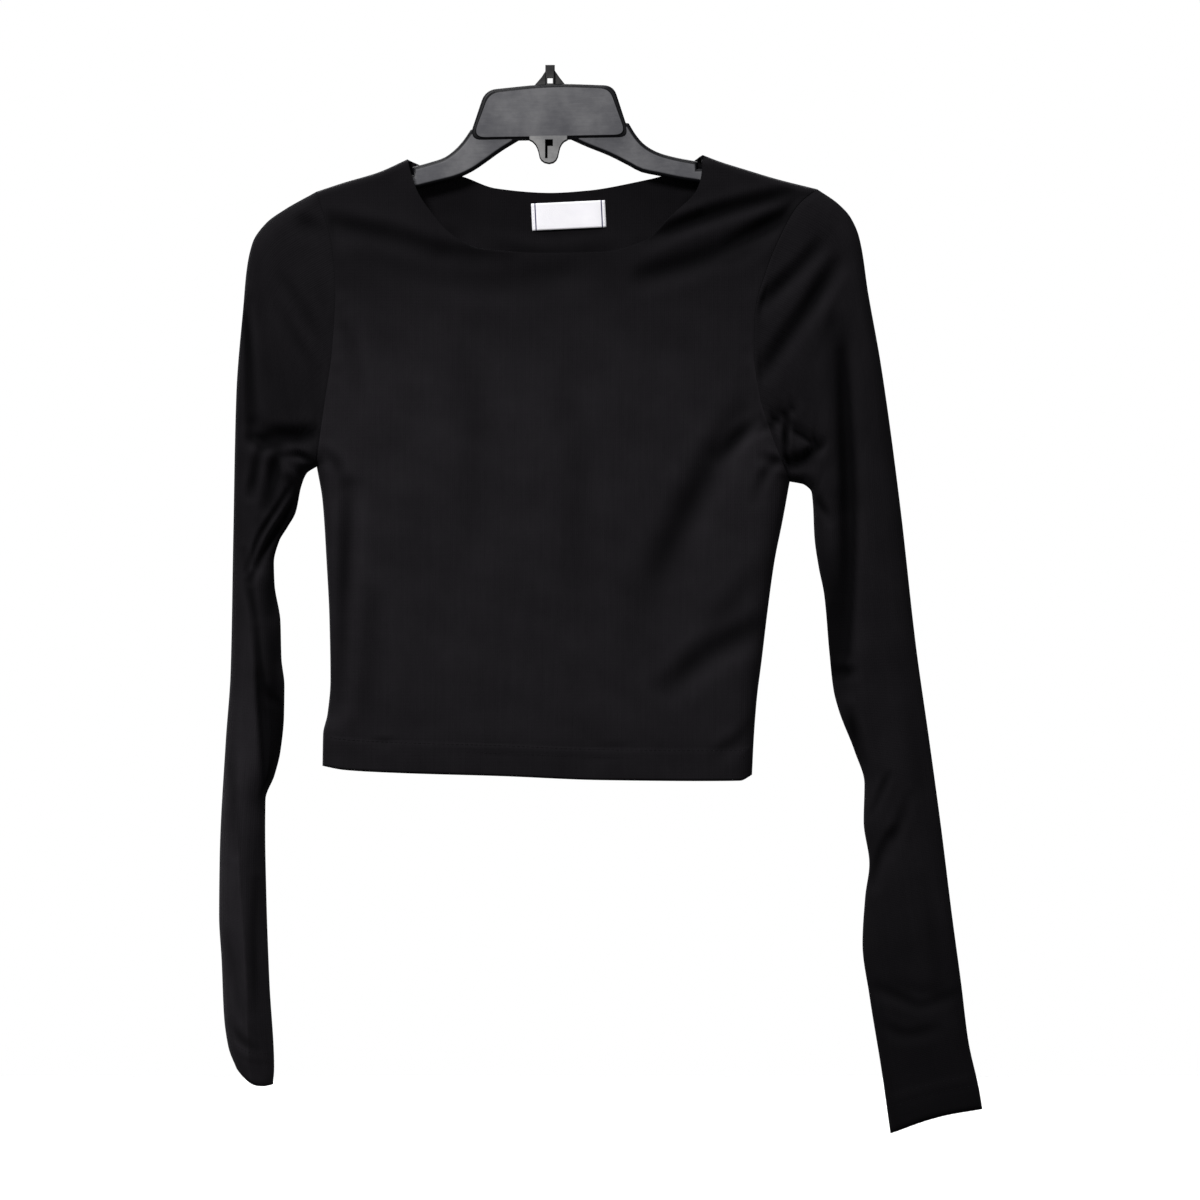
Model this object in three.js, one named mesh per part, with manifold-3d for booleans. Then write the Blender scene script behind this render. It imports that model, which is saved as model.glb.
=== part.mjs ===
// A long-sleeved crop top of fine jersey, hanging flat on a moulded hanger.
// Millimetres. Seen from the front +X is to the right, +Z is up, and the front faces -Y.
// The origin is the middle of the small window in the hanger's peak, where the hanger is held.
// Right and left are the wearer's: the right sleeve is at -X.

import * as THREE from 'three';
import Module from 'manifold-3d';
import { mergeVertices } from 'three/addons/utils/BufferGeometryUtils.js';

const wasm = await Module();
wasm.setup();

// Driving dimensions
const CLOTH = 1.5; // thickness of every cloth wall
const SEAM_GAP = 0.3; // between two sewn pieces
const RIDGE_CLOTH = 2; // wall at a seam where front and back meet in a narrow arch
const LENGTH_GAP = 0.0008; // between two lengths of a sleeve, as a share of the whole sleeve
const CROTCH_CLOTH = 3; // wall at the underarm point, where two nearly parallel walls meet
const SHOULDER_ROUND = 4; // height over which the cloth rounds off the hanger's arm
const SIDE_ROUND = 16; // width over which a side rounds from its seam to the full depth
const CROWN = 0.16; // share of the depth that the body loses from its middle to its sides
const HEM_DEPTH = 22; // turned hem at the foot of the body
const HEM_PROUD = 0.5; // how far the doubled hem stands out
const BACK_SCOOP = 0.7; // the back armhole's curve as a share of the front one's
const LABEL_THICKNESS = 1;
const LABEL_BEHIND = 0.45; // between the label and the wall that it lies on

// How finely the cloth is divided
const ARMHOLE_STEPS = 11; // along half an armhole, and across half a sleeve
const SLEEVE_STEPS = 27; // along a sleeve
const NECK_STEPS = { front: 18, back: 14 };
const SHOULDER_STEPS = [0, 0.06, 0.22, 0.46, 0.72, 1]; // shares of the way from sleeve to neck
const SIDE_STEPS = [0.07, 0.18, 0.31, 0.45, 0.6, 0.75, 0.885, 0.905, 0.95, 1]; // underarm to hem

// Outlines of the body, from the sleeve seam to the neck and from the top down
const SHOULDER = {
  right: [{ x: -163.8, z: -77.7 }, { x: -145, z: -71.5 }, { x: -120, z: -64 }, { x: -100, z: -55 }],
  left: [{ x: 187.4, z: -76 }, { x: 158.8, z: -68.8 }, { x: 135.6, z: -61.6 }, { x: 107, z: -55 }],
};
const NECK_RISE = 0.45; // slope of the line that carries a shoulder on over the open neck

const ARMHOLE = {
  right: [
    { z: -77.7, x: -163.8 }, { z: -118, x: -152.6 }, { z: -148, x: -150.3 }, { z: -190, x: -152.6 },
    { z: -222, x: -157 }, { z: -250, x: -161 }, { z: -270.5, x: -163.6 },
  ],
  left: [
    { z: -76, x: 187.4 }, { z: -87, x: 174.3 }, { z: -110, x: 161 }, { z: -132, x: 151.9 },
    { z: -164, x: 143.5 }, { z: -190, x: 142.8 }, { z: -222, x: 147 }, { z: -245, x: 154 },
    { z: -281, x: 168 },
  ],
};

const SIDE_SEAM = {
  right: [
    { z: -270.5, x: -163.6 }, { z: -294, x: -159.6 }, { z: -336, x: -156.8 }, { z: -378, x: -154.7 },
    { z: -420, x: -154 }, { z: -444, x: -156.1 }, { z: -458, x: -159.2 }, { z: -480.2, x: -159.6 },
  ],
  left: [
    { z: -281, x: 168 }, { z: -308, x: 163.1 }, { z: -336, x: 157.5 }, { z: -371, x: 152.6 },
    { z: -406, x: 148.4 }, { z: -434, x: 144.9 }, { z: -462, x: 142.8 }, { z: -486.5, x: 141.6 },
  ],
};

const NECKLINE = {
  front: [
    { x: -100, z: -55 }, { x: -97.7, z: -63.4 }, { x: -93.2, z: -76.8 }, { x: -82.6, z: -92.9 },
    { x: -66, z: -110 }, { x: -50, z: -118 }, { x: -6, z: -121 }, { x: 35, z: -120.4 },
    { x: 65.8, z: -112.5 }, { x: 87, z: -93 }, { x: 102.9, z: -76.3 }, { x: 106, z: -66 },
    { x: 107, z: -55 },
  ],
  back: [
    { x: -100, z: -55 }, { x: -84, z: -61.5 }, { x: -62, z: -66.5 }, { x: -38, z: -75 },
    { x: 0, z: -78.1 }, { x: 26, z: -76.5 }, { x: 60, z: -70.6 }, { x: 86, z: -64 },
    { x: 107, z: -55 },
  ],
};

const HEM = [
  { x: -159.6, z: -480.2 }, { x: -143.5, z: -483 }, { x: -105, z: -485.1 }, { x: -35, z: -487.2 },
  { x: 35, z: -490 }, { x: 105, z: -490.7 }, { x: 133, z: -490.5 }, { x: 141.6, z: -486.5 },
];
const HEM_UNDER_NECK = { right: -99, left: 93 }; // where the columns below the neck points reach the hem

// Half the depth of the body at its middle, front and back
const BODY_DEPTH = [
  { z: -55, front: 8, back: 8 }, { z: -90, front: 9.2, back: 8.8 }, { z: -125, front: 11.5, back: 9.6 },
  { z: -200, front: 14.5, back: 11 }, { z: -300, front: 15.5, back: 12 }, { z: -400, front: 14, back: 11 },
  { z: -491, front: 12.5, back: 10 },
];

// Edges of the sleeves: outer runs over the top of the arm, inner along the underarm seam
const SLEEVE_EDGE = {
  right: {
    outer: [
      { z: -77.7, x: -163.8 }, { z: -90.3, x: -186.2 }, { z: -99.4, x: -198.8 }, { z: -113.4, x: -208.6 },
      { z: -133, x: -212.8 }, { z: -156, x: -214.9 }, { z: -220, x: -220 }, { z: -322, x: -222.2 },
      { z: -414, x: -224 }, { z: -464, x: -227.5 }, { z: -546, x: -231.7 }, { z: -585, x: -232.1 },
      { z: -617, x: -230.3 }, { z: -656, x: -228.6 }, { z: -678, x: -225.4 }, { z: -692, x: -220 },
    ],
    inner: [
      { z: -270.5, x: -163.6 }, { z: -275, x: -170.4 }, { z: -284, x: -174.3 }, { z: -303, x: -178.5 },
      { z: -313, x: -184.1 }, { z: -323, x: -190 }, { z: -338, x: -193.6 }, { z: -352, x: -193.2 },
      { z: -379, x: -189 }, { z: -405, x: -188.3 }, { z: -424, x: -186.2 }, { z: -445, x: -186.5 },
      { z: -470, x: -189 }, { z: -487, x: -193.2 }, { z: -504, x: -199.5 }, { z: -525, x: -199.7 },
      { z: -570, x: -198.9 }, { z: -632, x: -196.7 }, { z: -692, x: -193.4 }, { z: -703.4, x: -194.2 },
    ],
  },
  left: {
    outer: [
      { z: -76, x: 187.4 }, { z: -85.8, x: 201.6 }, { z: -95.6, x: 210.6 }, { z: -109.9, x: 216.8 },
      { z: -149, x: 223.1 }, { z: -199, x: 232 }, { z: -298, x: 245.5 }, { z: -398, x: 256.8 },
      { z: -463, x: 266 }, { z: -525, x: 274.4 }, { z: -587, x: 282.1 }, { z: -633, x: 288.3 },
      { z: -673, x: 293.3 }, { z: -708, x: 301 }, { z: -720.7, x: 303.1 },
    ],
    inner: [
      { z: -281, x: 168 }, { z: -283, x: 177.8 }, { z: -289, x: 183.4 }, { z: -322, x: 185.5 },
      { z: -341, x: 188.3 }, { z: -360, x: 192.1 }, { z: -401, x: 195.8 }, { z: -427, x: 198.7 },
      { z: -441, x: 202.3 }, { z: -470, x: 213.5 }, { z: -493, x: 220.4 }, { z: -519, x: 219.8 },
      { z: -549, x: 223.8 }, { z: -572, x: 220.9 }, { z: -605, x: 219 }, { z: -641, x: 223.8 },
      { z: -694, x: 232.4 }, { z: -737.8, x: 238.6 },
    ],
  },
};

// Where the rings of a sleeve cross its two edges: they fan out round the underarm and then lie level
const SLEEVE_LENGTHS = {
  right: [{ name: 'sleeve_right', from: 0, to: 1 }],
  left: [
    { name: 'sleeve_left_upper', from: 0, to: 0.46 },
    { name: 'sleeve_left_middle', from: 0.46, to: 0.72 },
    { name: 'sleeve_left_lower', from: 0.72, to: 1 },
  ],
};

const SLEEVE_FAN = {
  right: [
    { at: 0, outer: -77.7, inner: -270.5 }, { at: 0.1, outer: -96, inner: -272 },
    { at: 0.2, outer: -140, inner: -276 }, { at: 0.34, outer: -240, inner: -292 },
    { at: 0.45, outer: -318, inner: -324 }, { at: 0.72, outer: -496, inner: -498 },
    { at: 1, outer: -692, inner: -703.4 },
  ],
  left: [
    { at: 0, outer: -76, inner: -281 }, { at: 0.1, outer: -92, inner: -281.6 },
    { at: 0.2, outer: -134, inner: -283.5 }, { at: 0.34, outer: -236, inner: -296 },
    { at: 0.45, outer: -318, inner: -330 }, { at: 0.72, outer: -504, inner: -512 },
    { at: 1, outer: -720.7, inner: -737.8 },
  ],
};

// Form of a sleeve's section down its length. half is the flat depth each way and round the width
// of its rounded edges. Each ridge stands at a share of the way from the outer to the inner edge,
// and lifts the cloth by so much: a sleeve that turns edge-on has them at its folded edges.
const SLEEVE_FORM = {
  right: [
    { at: 0, half: 11, round: 4, ridge: 0.5, lift: 0, edgeRidge: 0.2, edgeLift: 0 },
    { at: 0.12, half: 11, round: 12, ridge: 0.5, lift: 1, edgeRidge: 0.2, edgeLift: 0 },
    { at: 0.4, half: 10, round: 10, ridge: 0.45, lift: 3, edgeRidge: 0.2, edgeLift: 0 },
    { at: 0.52, half: 9, round: 8, ridge: 0.5, lift: 8, edgeRidge: 0.2, edgeLift: 0 },
    { at: 0.62, half: 9, round: 8, ridge: 0.66, lift: 11, edgeRidge: 0.2, edgeLift: 1 },
    { at: 0.72, half: 8, round: 7, ridge: 0.9, lift: 7, edgeRidge: 0.3, edgeLift: 9 },
    { at: 0.8, half: 8, round: 8, ridge: 0.95, lift: 0, edgeRidge: 0.45, edgeLift: 16 },
    { at: 0.9, half: 8, round: 8, ridge: 0.95, lift: 0, edgeRidge: 0.54, edgeLift: 17 },
    { at: 1, half: 7, round: 8, ridge: 0.95, lift: 0, edgeRidge: 0.44, edgeLift: 14 },
  ],
  left: [
    { at: 0, half: 11, round: 4, ridge: 0.5, lift: 0, edgeRidge: 0.5, edgeLift: 0 },
    { at: 0.12, half: 11, round: 13, ridge: 0.5, lift: 1, edgeRidge: 0.5, edgeLift: 0 },
    { at: 0.4, half: 10, round: 13, ridge: 0.7, lift: 3, edgeRidge: 0.3, edgeLift: 0 },
    { at: 0.6, half: 8.5, round: 13, ridge: 0.7, lift: 4, edgeRidge: 0.3, edgeLift: 1 },
    { at: 0.8, half: 8, round: 13, ridge: 0.6, lift: 3, edgeRidge: 0.3, edgeLift: 1 },
    { at: 1, half: 9, round: 14, ridge: 0.6, lift: 2, edgeRidge: 0.4, edgeLift: 0 },
  ],
};
const ARMHOLE_FADE = 0.34; // share of a sleeve over which its rings lose the armhole's curve
const CUFF_BOW = { right: 5, left: -3 }; // how far the middle of a cuff's edge hangs below its ends

// Largest folds: soft troughs from one end to the other, with their half width and their depth.
// A negative depth is a ridge.
const FOLDS = {
  front: [
    { x1: 73, z1: -108, x2: 156, z2: -85, width: 7, depth: 1.3 },
    { x1: 70, z1: -136, x2: 172, z2: -92, width: 10, depth: 1.9 },
    { x1: 138, z1: -218, x2: 63, z2: -364, width: 24, depth: 2.6 },
    { x1: 141, z1: -385, x2: 84, z2: -425, width: 10, depth: 1.6 },
    { x1: -150, z1: -102, x2: -76, z2: -124, width: 9, depth: 1.6 },
    { x1: -76, z1: -126, x2: 8, z2: -136, width: 10, depth: 1.8 },
    { x1: -139, z1: -287, x2: -145, z2: -434, width: 9, depth: 2 },
    { x1: 140, z1: -236, x2: 118, z2: -262, width: 9, depth: 2.2 },
  ],
  back: [
    { x1: -138, z1: -212, x2: -70, z2: -350, width: 22, depth: 2.4 },
    { x1: 139, z1: -230, x2: 104, z2: -300, width: 16, depth: 2 },
    { x1: -60, z1: -120, x2: 62, z2: -126, width: 12, depth: 1.4 },
    { x1: 131, z1: -330, x2: 126, z2: -450, width: 10, depth: 1.8 },
  ],
  sleeveRight: [
    { x1: -176, z1: -250, x2: -206, z2: -243, width: 6, depth: 3 },
    { x1: -179, z1: -292, x2: -201, z2: -340, width: 7, depth: 3.2 },
    { x1: -214, z1: -156, x2: -208, z2: -250, width: 5, depth: 2 },
    { x1: -184, z1: -274, x2: -176, z2: -270, width: 5, depth: -1.6 },
  ],
  sleeveLeft: [
    { x1: 150, z1: -154, x2: 189, z2: -116, width: 9, depth: 2.2 },
    { x1: 153, z1: -201, x2: 201, z2: -128, width: 10, depth: 2.6 },
    { x1: 201, z1: -175, x2: 208, z2: -330, width: 8, depth: 2.6 },
    { x1: 208, z1: -330, x2: 204, z2: -418, width: 8, depth: 3.2 },
    { x1: 160, z1: -240, x2: 189, z2: -256, width: 6, depth: 2.6 },
    { x1: 162, z1: -266, x2: 182, z2: -270, width: 6, depth: 3 },
    { x1: 229, z1: -637, x2: 270, z2: -642, width: 7, depth: 2 },
    { x1: 238, z1: -532, x2: 226, z2: -562, width: 6, depth: 1.8 },
  ],
};

// Label inside the back neck, seen through the neck opening
const LABEL = { x: 13, z: -95, width: 52, height: 20, tilt: 3, steps: 5 };

// Hanger
const ARM_THICKNESS = 7.2;
const ARM_CHAMFER = 1.7;
const ARM_BELOW_CLOTH = 4; // from the shoulder line down to the arm that carries it
const ARM_HEIGHT = 17;
const NOTCH_DEPTH = 5; // strap notch beside the neck
const NOTCH_WIDTH = 6;
const ARM_NECK = {
  right: {
    top: [
      { x: -55.7, z: -34.3 }, { x: -60.4, z: -41.3 }, { x: -66.7, z: -48.3 }, { x: -74.5, z: -53.9 },
      { x: -84, z: -57.1 }, { x: -96.5, z: -60.6 },
    ],
    bottom: [
      { x: -96.5, z: -76.4 }, { x: -80.8, z: -72.5 }, { x: -65.1, z: -68.4 }, { x: -54.2, z: -63.4 },
      { x: -44.8, z: -57.1 }, { x: -33.9, z: -49.3 }, { x: -22, z: -42 },
    ],
    tip: { x: -190.5, z: -109 },
  },
  left: {
    top: [
      { x: 55.2, z: -29.8 }, { x: 59.9, z: -37.6 }, { x: 66.2, z: -44.7 }, { x: 75.5, z: -50.1 },
      { x: 88, z: -53.7 }, { x: 103.6, z: -56.6 },
    ],
    bottom: [
      { x: 103.6, z: -71.6 }, { x: 91, z: -69.7 }, { x: 75.5, z: -66.5 }, { x: 64.4, z: -64.2 },
      { x: 53.6, z: -58.7 }, { x: 41.2, z: -52.5 }, { x: 25.5, z: -46.2 }, { x: 14, z: -41 },
    ],
    tip: { x: 196, z: -97 },
  },
};
const TIP_RADIUS = 7.5;
const TIP_ARC = { from: 0.62, turn: 1.1, steps: 6 }; // in half turns, from the top of the tip to its foot

const PLATE = [
  { x: -45.5, z: -7, round: 8 }, { x: 0, z: -3.2, round: 60 }, { x: 44.5, z: -4.4, round: 7 },
  { x: 56.6, z: -40, round: 9 }, { x: -57.5, z: -41.9, round: 10 },
];
const PLATE_MIDDLE = { x: 0, z: -22 };
const CORNER_STEPS = 6; // along each rounded corner of the plate
const PLATE_RIM = { thickness: 8.6, bevel: 0.8 };
const PLATE_FACE = { inset: 2.2, thickness: 10.4, bevel: 0.6 };

const PEAK = [
  { x: -12, z: -4.5 }, { x: -6, z: 2.5 }, { x: -3.2, z: 6.8 }, { x: -2.6, z: 11 }, { x: 2.4, z: 11 },
  { x: 3.5, z: 6.8 }, { x: 7, z: 1.8 }, { x: 12, z: -4.5 },
];
const PEAK_THICKNESS = 3.2;
const POST = { width: 6.6, top: 11, foot: -5, thickness: 6.8, chamfer: 1 };
const WINDOW = { width: 3.8, height: 4 }; // its middle is the origin

const PRONG = [
  { x: -14.2, z: -39.5 }, { x: -11.2, z: -44.8 }, { x: -9.1, z: -47.6 }, { x: -7.9, z: -52.5 },
  { x: -7.3, z: -56 }, { x: -4.2, z: -58.1 }, { x: -0.4, z: -58.8 }, { x: 3.5, z: -57.4 },
  { x: 5.6, z: -54.6 }, { x: 6.7, z: -49.7 }, { x: 8, z: -45.5 }, { x: 11.8, z: -39.5 },
];
const PRONG_THICKNESS = 6.4;
const PRONG_CHAMFER = 0.8;
const PRONG_WEB = 1.2; // plastic left behind the prong's slot and slit, which show dark
const PRONG_SLOT = { left: -3.2, right: 2.1, top: -42.4, foot: -46.4 };
const PRONG_SLIT = { left: -3.7, right: -2.5, top: -46, foot: -54.6 };

// Colours and finishes
const jersey = () => new THREE.MeshStandardMaterial({ color: 0x1b1a1d, roughness: 0.92, metalness: 0 });
const labelCloth = () => new THREE.MeshStandardMaterial({ color: 0xf1eff4, roughness: 0.7, metalness: 0 });
const plastic = () => new THREE.MeshStandardMaterial({ color: 0x5c5c60, roughness: 0.45, metalness: 0 });

// A smooth curve through the rows of a table, which never swings past them
function curve(rows, from, to) {
  const sorted = [...rows].sort((a, b) => a[from] - b[from]);
  const xs = sorted.map((row) => row[from]);
  const ys = sorted.map((row) => row[to]);
  const steps = xs.slice(1).map((x, i) => x - xs[i]);
  const slopes = steps.map((step, i) => (ys[i + 1] - ys[i]) / step);
  const bends = xs.map((_, i) => {
    if (i === 0) return slopes[0];
    if (i === xs.length - 1) return slopes[i - 1];
    if (slopes[i - 1] * slopes[i] <= 0) return 0;
    const before = 2 * steps[i] + steps[i - 1];
    const after = steps[i] + 2 * steps[i - 1];
    return (before + after) / (before / slopes[i - 1] + after / slopes[i]);
  });
  return (value) => {
    const x = Math.min(Math.max(value, xs[0]), xs[xs.length - 1]);
    let i = 0;
    while (i < steps.length - 1 && x > xs[i + 1]) i += 1;
    const t = (x - xs[i]) / steps[i];
    const into = t * t * (3 - 2 * t);
    const startBend = t * (1 - t) * (1 - t) * bends[i];
    const endBend = t * t * (t - 1) * bends[i + 1];
    return ys[i] * (1 - into) + ys[i + 1] * into + (startBend + endBend) * steps[i];
  };
}

const mix = THREE.MathUtils.lerp;

// A quarter round: 0 at an edge, 1 once the distance from it reaches the radius
function rise(distance, radius) {
  const s = THREE.MathUtils.clamp(distance / radius, 0, 1);
  return Math.sqrt(1 - (1 - s) * (1 - s));
}

// How deep the folds of one piece press the cloth in at a point
function foldDepth(folds, x, z) {
  let depth = 0;
  for (const fold of folds) {
    const dx = fold.x2 - fold.x1;
    const dz = fold.z2 - fold.z1;
    const along = ((x - fold.x1) * dx + (z - fold.z1) * dz) / (dx * dx + dz * dz);
    const t = THREE.MathUtils.clamp(along, 0, 1);
    const away = Math.hypot(x - fold.x1 - t * dx, z - fold.z1 - t * dz) / fold.width;
    depth += fold.depth * Math.exp(-away * away);
  }
  return depth;
}

const shoulderCurve = {
  right: curve(SHOULDER.right, 'x', 'z'),
  left: curve(SHOULDER.left, 'x', 'z'),
};
const neckPoint = { right: SHOULDER.right.at(-1), left: SHOULDER.left.at(-1) };
const underarm = { right: ARMHOLE.right.at(-1), left: ARMHOLE.left.at(-1) };
const sideCurve = {
  right: curve(SIDE_SEAM.right, 'z', 'x'),
  left: curve(SIDE_SEAM.left, 'z', 'x'),
};
const hemCurve = curve(HEM, 'x', 'z');
const bodyDepth = {
  front: curve(BODY_DEPTH, 'z', 'front'),
  back: curve(BODY_DEPTH, 'z', 'back'),
};
const FACING = { front: -1, back: 1 };
const BODY_HALF_WIDTH = 165;

// Height of the shoulder line, carried on over the open neck
function shoulderLine(x) {
  if (x < neckPoint.right.x) return shoulderCurve.right(x);
  if (x > neckPoint.left.x) return shoulderCurve.left(x);
  const inward = Math.min(x - neckPoint.right.x, neckPoint.left.x - x);
  return neckPoint.right.z + NECK_RISE * inward;
}

// Distance from a point to a side seam, which starts at the underarm
function fromSide(side, x, z) {
  const corner = underarm[side];
  if (z > corner.z) return Math.hypot(x - corner.x, z - corner.z);
  return Math.abs(x - sideCurve[side](z));
}

// Depth of the body with no rounding at its seams
function flatDepth(face, x, z) {
  const across = x / BODY_HALF_WIDTH;
  return bodyDepth[face](z) * (1 - CROWN * across * across);
}

function depthAt(face, x, z) {
  const rounded =
    rise(shoulderLine(x) - z, SHOULDER_ROUND) *
    rise(fromSide('right', x, z), SIDE_ROUND) *
    rise(fromSide('left', x, z), SIDE_ROUND);
  const hem = z < hemCurve(x) + HEM_DEPTH ? HEM_PROUD : 0;
  return (flatDepth(face, x, z) - foldDepth(FOLDS[face], x, z) + hem) * rounded;
}

// Shares of the way round half an armhole or half a sleeve, closer together near its two ends
const ringShares = Array.from(
  { length: ARMHOLE_STEPS + 1 },
  (_, k) => (1 - Math.cos((Math.PI * k) / ARMHOLE_STEPS)) / 2,
);

// Half an armhole seam from the shoulder down to the underarm, on the line where two walls meet.
// inY and inZ point from the outer face of the cloth to its inner face.
function armholeSeam(side, face) {
  const top = ARMHOLE[side][0];
  const foot = underarm[side];
  const height = top.z - foot.z;
  const seam = curve(ARMHOLE[side], 'z', 'x');
  const points = ringShares.map((share) => {
    const z = mix(top.z, foot.z, share);
    const straight = mix(top.x, foot.x, share);
    const scoop = face === 'front' ? 1 : BACK_SCOOP;
    const x = straight + scoop * (seam(z) - straight);
    const rounded = rise(share * height, SHOULDER_ROUND) * rise((1 - share) * height, SIDE_ROUND);
    return { x, y: FACING[face] * flatDepth(face, x, z) * rounded, z };
  });
  return points.map((point, k) => {
    if (k === 0) return { ...point, inY: 0, inZ: -RIDGE_CLOTH };
    if (k === ARMHOLE_STEPS) return { ...point, inY: 0, inZ: CROTCH_CLOTH };
    const dy = points[k + 1].y - points[k - 1].y;
    const dz = points[k + 1].z - points[k - 1].z;
    const scale = (CLOTH * FACING[face]) / Math.hypot(dy, dz);
    return { ...point, inY: dz * scale, inZ: -dy * scale };
  });
}

// A closed mesh from an outer and an inner grid of points, joined along their edges
function wallGeometry(outer, inner, flipped) {
  const rows = outer.length;
  const columns = outer[0].length;
  const positions = [...outer.flat(), ...inner.flat()].flatMap((p) => [p.x, p.y, p.z]);
  const shift = rows * columns;
  const at = (i, j) => i * columns + j;
  const indices = [];
  const face = (a, b, c, d) => {
    if (flipped) indices.push(a, c, b, a, d, c);
    else indices.push(a, b, c, a, c, d);
  };
  const last = rows - 1;
  const end = columns - 1;
  for (let i = 0; i < last; i += 1) {
    for (let j = 0; j < end; j += 1) {
      face(at(i, j), at(i + 1, j), at(i + 1, j + 1), at(i, j + 1));
      face(at(i, j) + shift, at(i, j + 1) + shift, at(i + 1, j + 1) + shift, at(i + 1, j) + shift);
    }
  }
  for (let j = 0; j < end; j += 1) {
    face(at(0, j), at(0, j + 1), at(0, j + 1) + shift, at(0, j) + shift);
    face(at(last, j + 1), at(last, j), at(last, j) + shift, at(last, j + 1) + shift);
  }
  for (let i = 0; i < last; i += 1) {
    face(at(i + 1, 0), at(i, 0), at(i, 0) + shift, at(i + 1, 0) + shift);
    face(at(i, end), at(i + 1, end), at(i + 1, end) + shift, at(i, end) + shift);
  }
  const geometry = new THREE.BufferGeometry();
  geometry.setAttribute('position', new THREE.Float32BufferAttribute(positions, 3));
  geometry.setIndex(indices);
  geometry.computeVertexNormals();
  return geometry;
}

// Points moved in from a grid by the cloth's thickness, square to it
function insideGrid(outer, flipped) {
  const rows = outer.length;
  const columns = outer[0].length;
  const vector = (a, b) => new THREE.Vector3(b.x - a.x, b.y - a.y, b.z - a.z);
  const step = flipped ? CLOTH : -CLOTH;
  return outer.map((row, i) =>
    row.map((point, j) => {
      const down = vector(outer[Math.max(i - 1, 0)][j], outer[Math.min(i + 1, rows - 1)][j]);
      const along = vector(row[Math.max(j - 1, 0)], row[Math.min(j + 1, columns - 1)]);
      const normal = down.cross(along).normalize();
      return {
        x: point.x + normal.x * step,
        y: point.y + normal.y * step,
        z: point.z + normal.z * step,
      };
    }),
  );
}

// Top edge of a body panel, from the right armhole over the neck to the left one
function topEdge(face) {
  const along = (side) =>
    SHOULDER_STEPS.map((share) => {
      const x = mix(SHOULDER[side][0].x, neckPoint[side].x, share);
      return { x, z: shoulderCurve[side](x) };
    });
  const neck = new THREE.CatmullRomCurve3(
    NECKLINE[face].map((p) => new THREE.Vector3(p.x, 0, p.z)),
    false,
    'centripetal',
  );
  const steps = NECK_STEPS[face];
  const neckPoints = Array.from({ length: steps - 1 }, (_, k) => {
    const even = (k + 1) / steps;
    const share = even - 0.11 * Math.sin(2 * Math.PI * even);
    const p = neck.getPointAt(share);
    return { x: p.x, z: p.z };
  });
  return [...along('right'), ...neckPoints, ...along('left').reverse()];
}

// Foot of a body panel, with as many points as its top edge
function footEdge(face, top) {
  const shoulder = SHOULDER_STEPS.length - 1;
  const neck = NECK_STEPS[face];
  const corner = { right: HEM[0], left: HEM.at(-1) };
  return top.map((_, i) => {
    const fromLeft = top.length - 1 - i;
    let x;
    if (i <= shoulder) x = mix(corner.right.x, HEM_UNDER_NECK.right, SHOULDER_STEPS[i]);
    else if (fromLeft <= shoulder) x = mix(corner.left.x, HEM_UNDER_NECK.left, SHOULDER_STEPS[fromLeft]);
    else x = mix(HEM_UNDER_NECK.right, HEM_UNDER_NECK.left, (i - shoulder) / neck);
    return { x, z: hemCurve(x) };
  });
}

// Side edge of a body panel: its half of the armhole, then the side seam
function sideEdge(side, face) {
  const inward = side === 'right' ? 1 : -1;
  const gap = (SEAM_GAP / 2) * FACING[face];
  const hole = armholeSeam(side, face).map((p, k) => ({
    x: p.x + (inward * SEAM_GAP) / 2,
    y: k === 0 || k === ARMHOLE_STEPS ? gap : p.y,
    z: p.z,
    inX: 0,
    inY: p.inY,
    inZ: p.inZ,
  }));
  const foot = SIDE_SEAM[side].at(-1);
  const seam = SIDE_STEPS.map((share) => {
    const z = mix(underarm[side].z, foot.z, share);
    return { x: sideCurve[side](z), y: gap, z, inX: inward * RIDGE_CLOTH, inY: 0, inZ: 0 };
  });
  return [...hole, ...seam];
}

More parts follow.
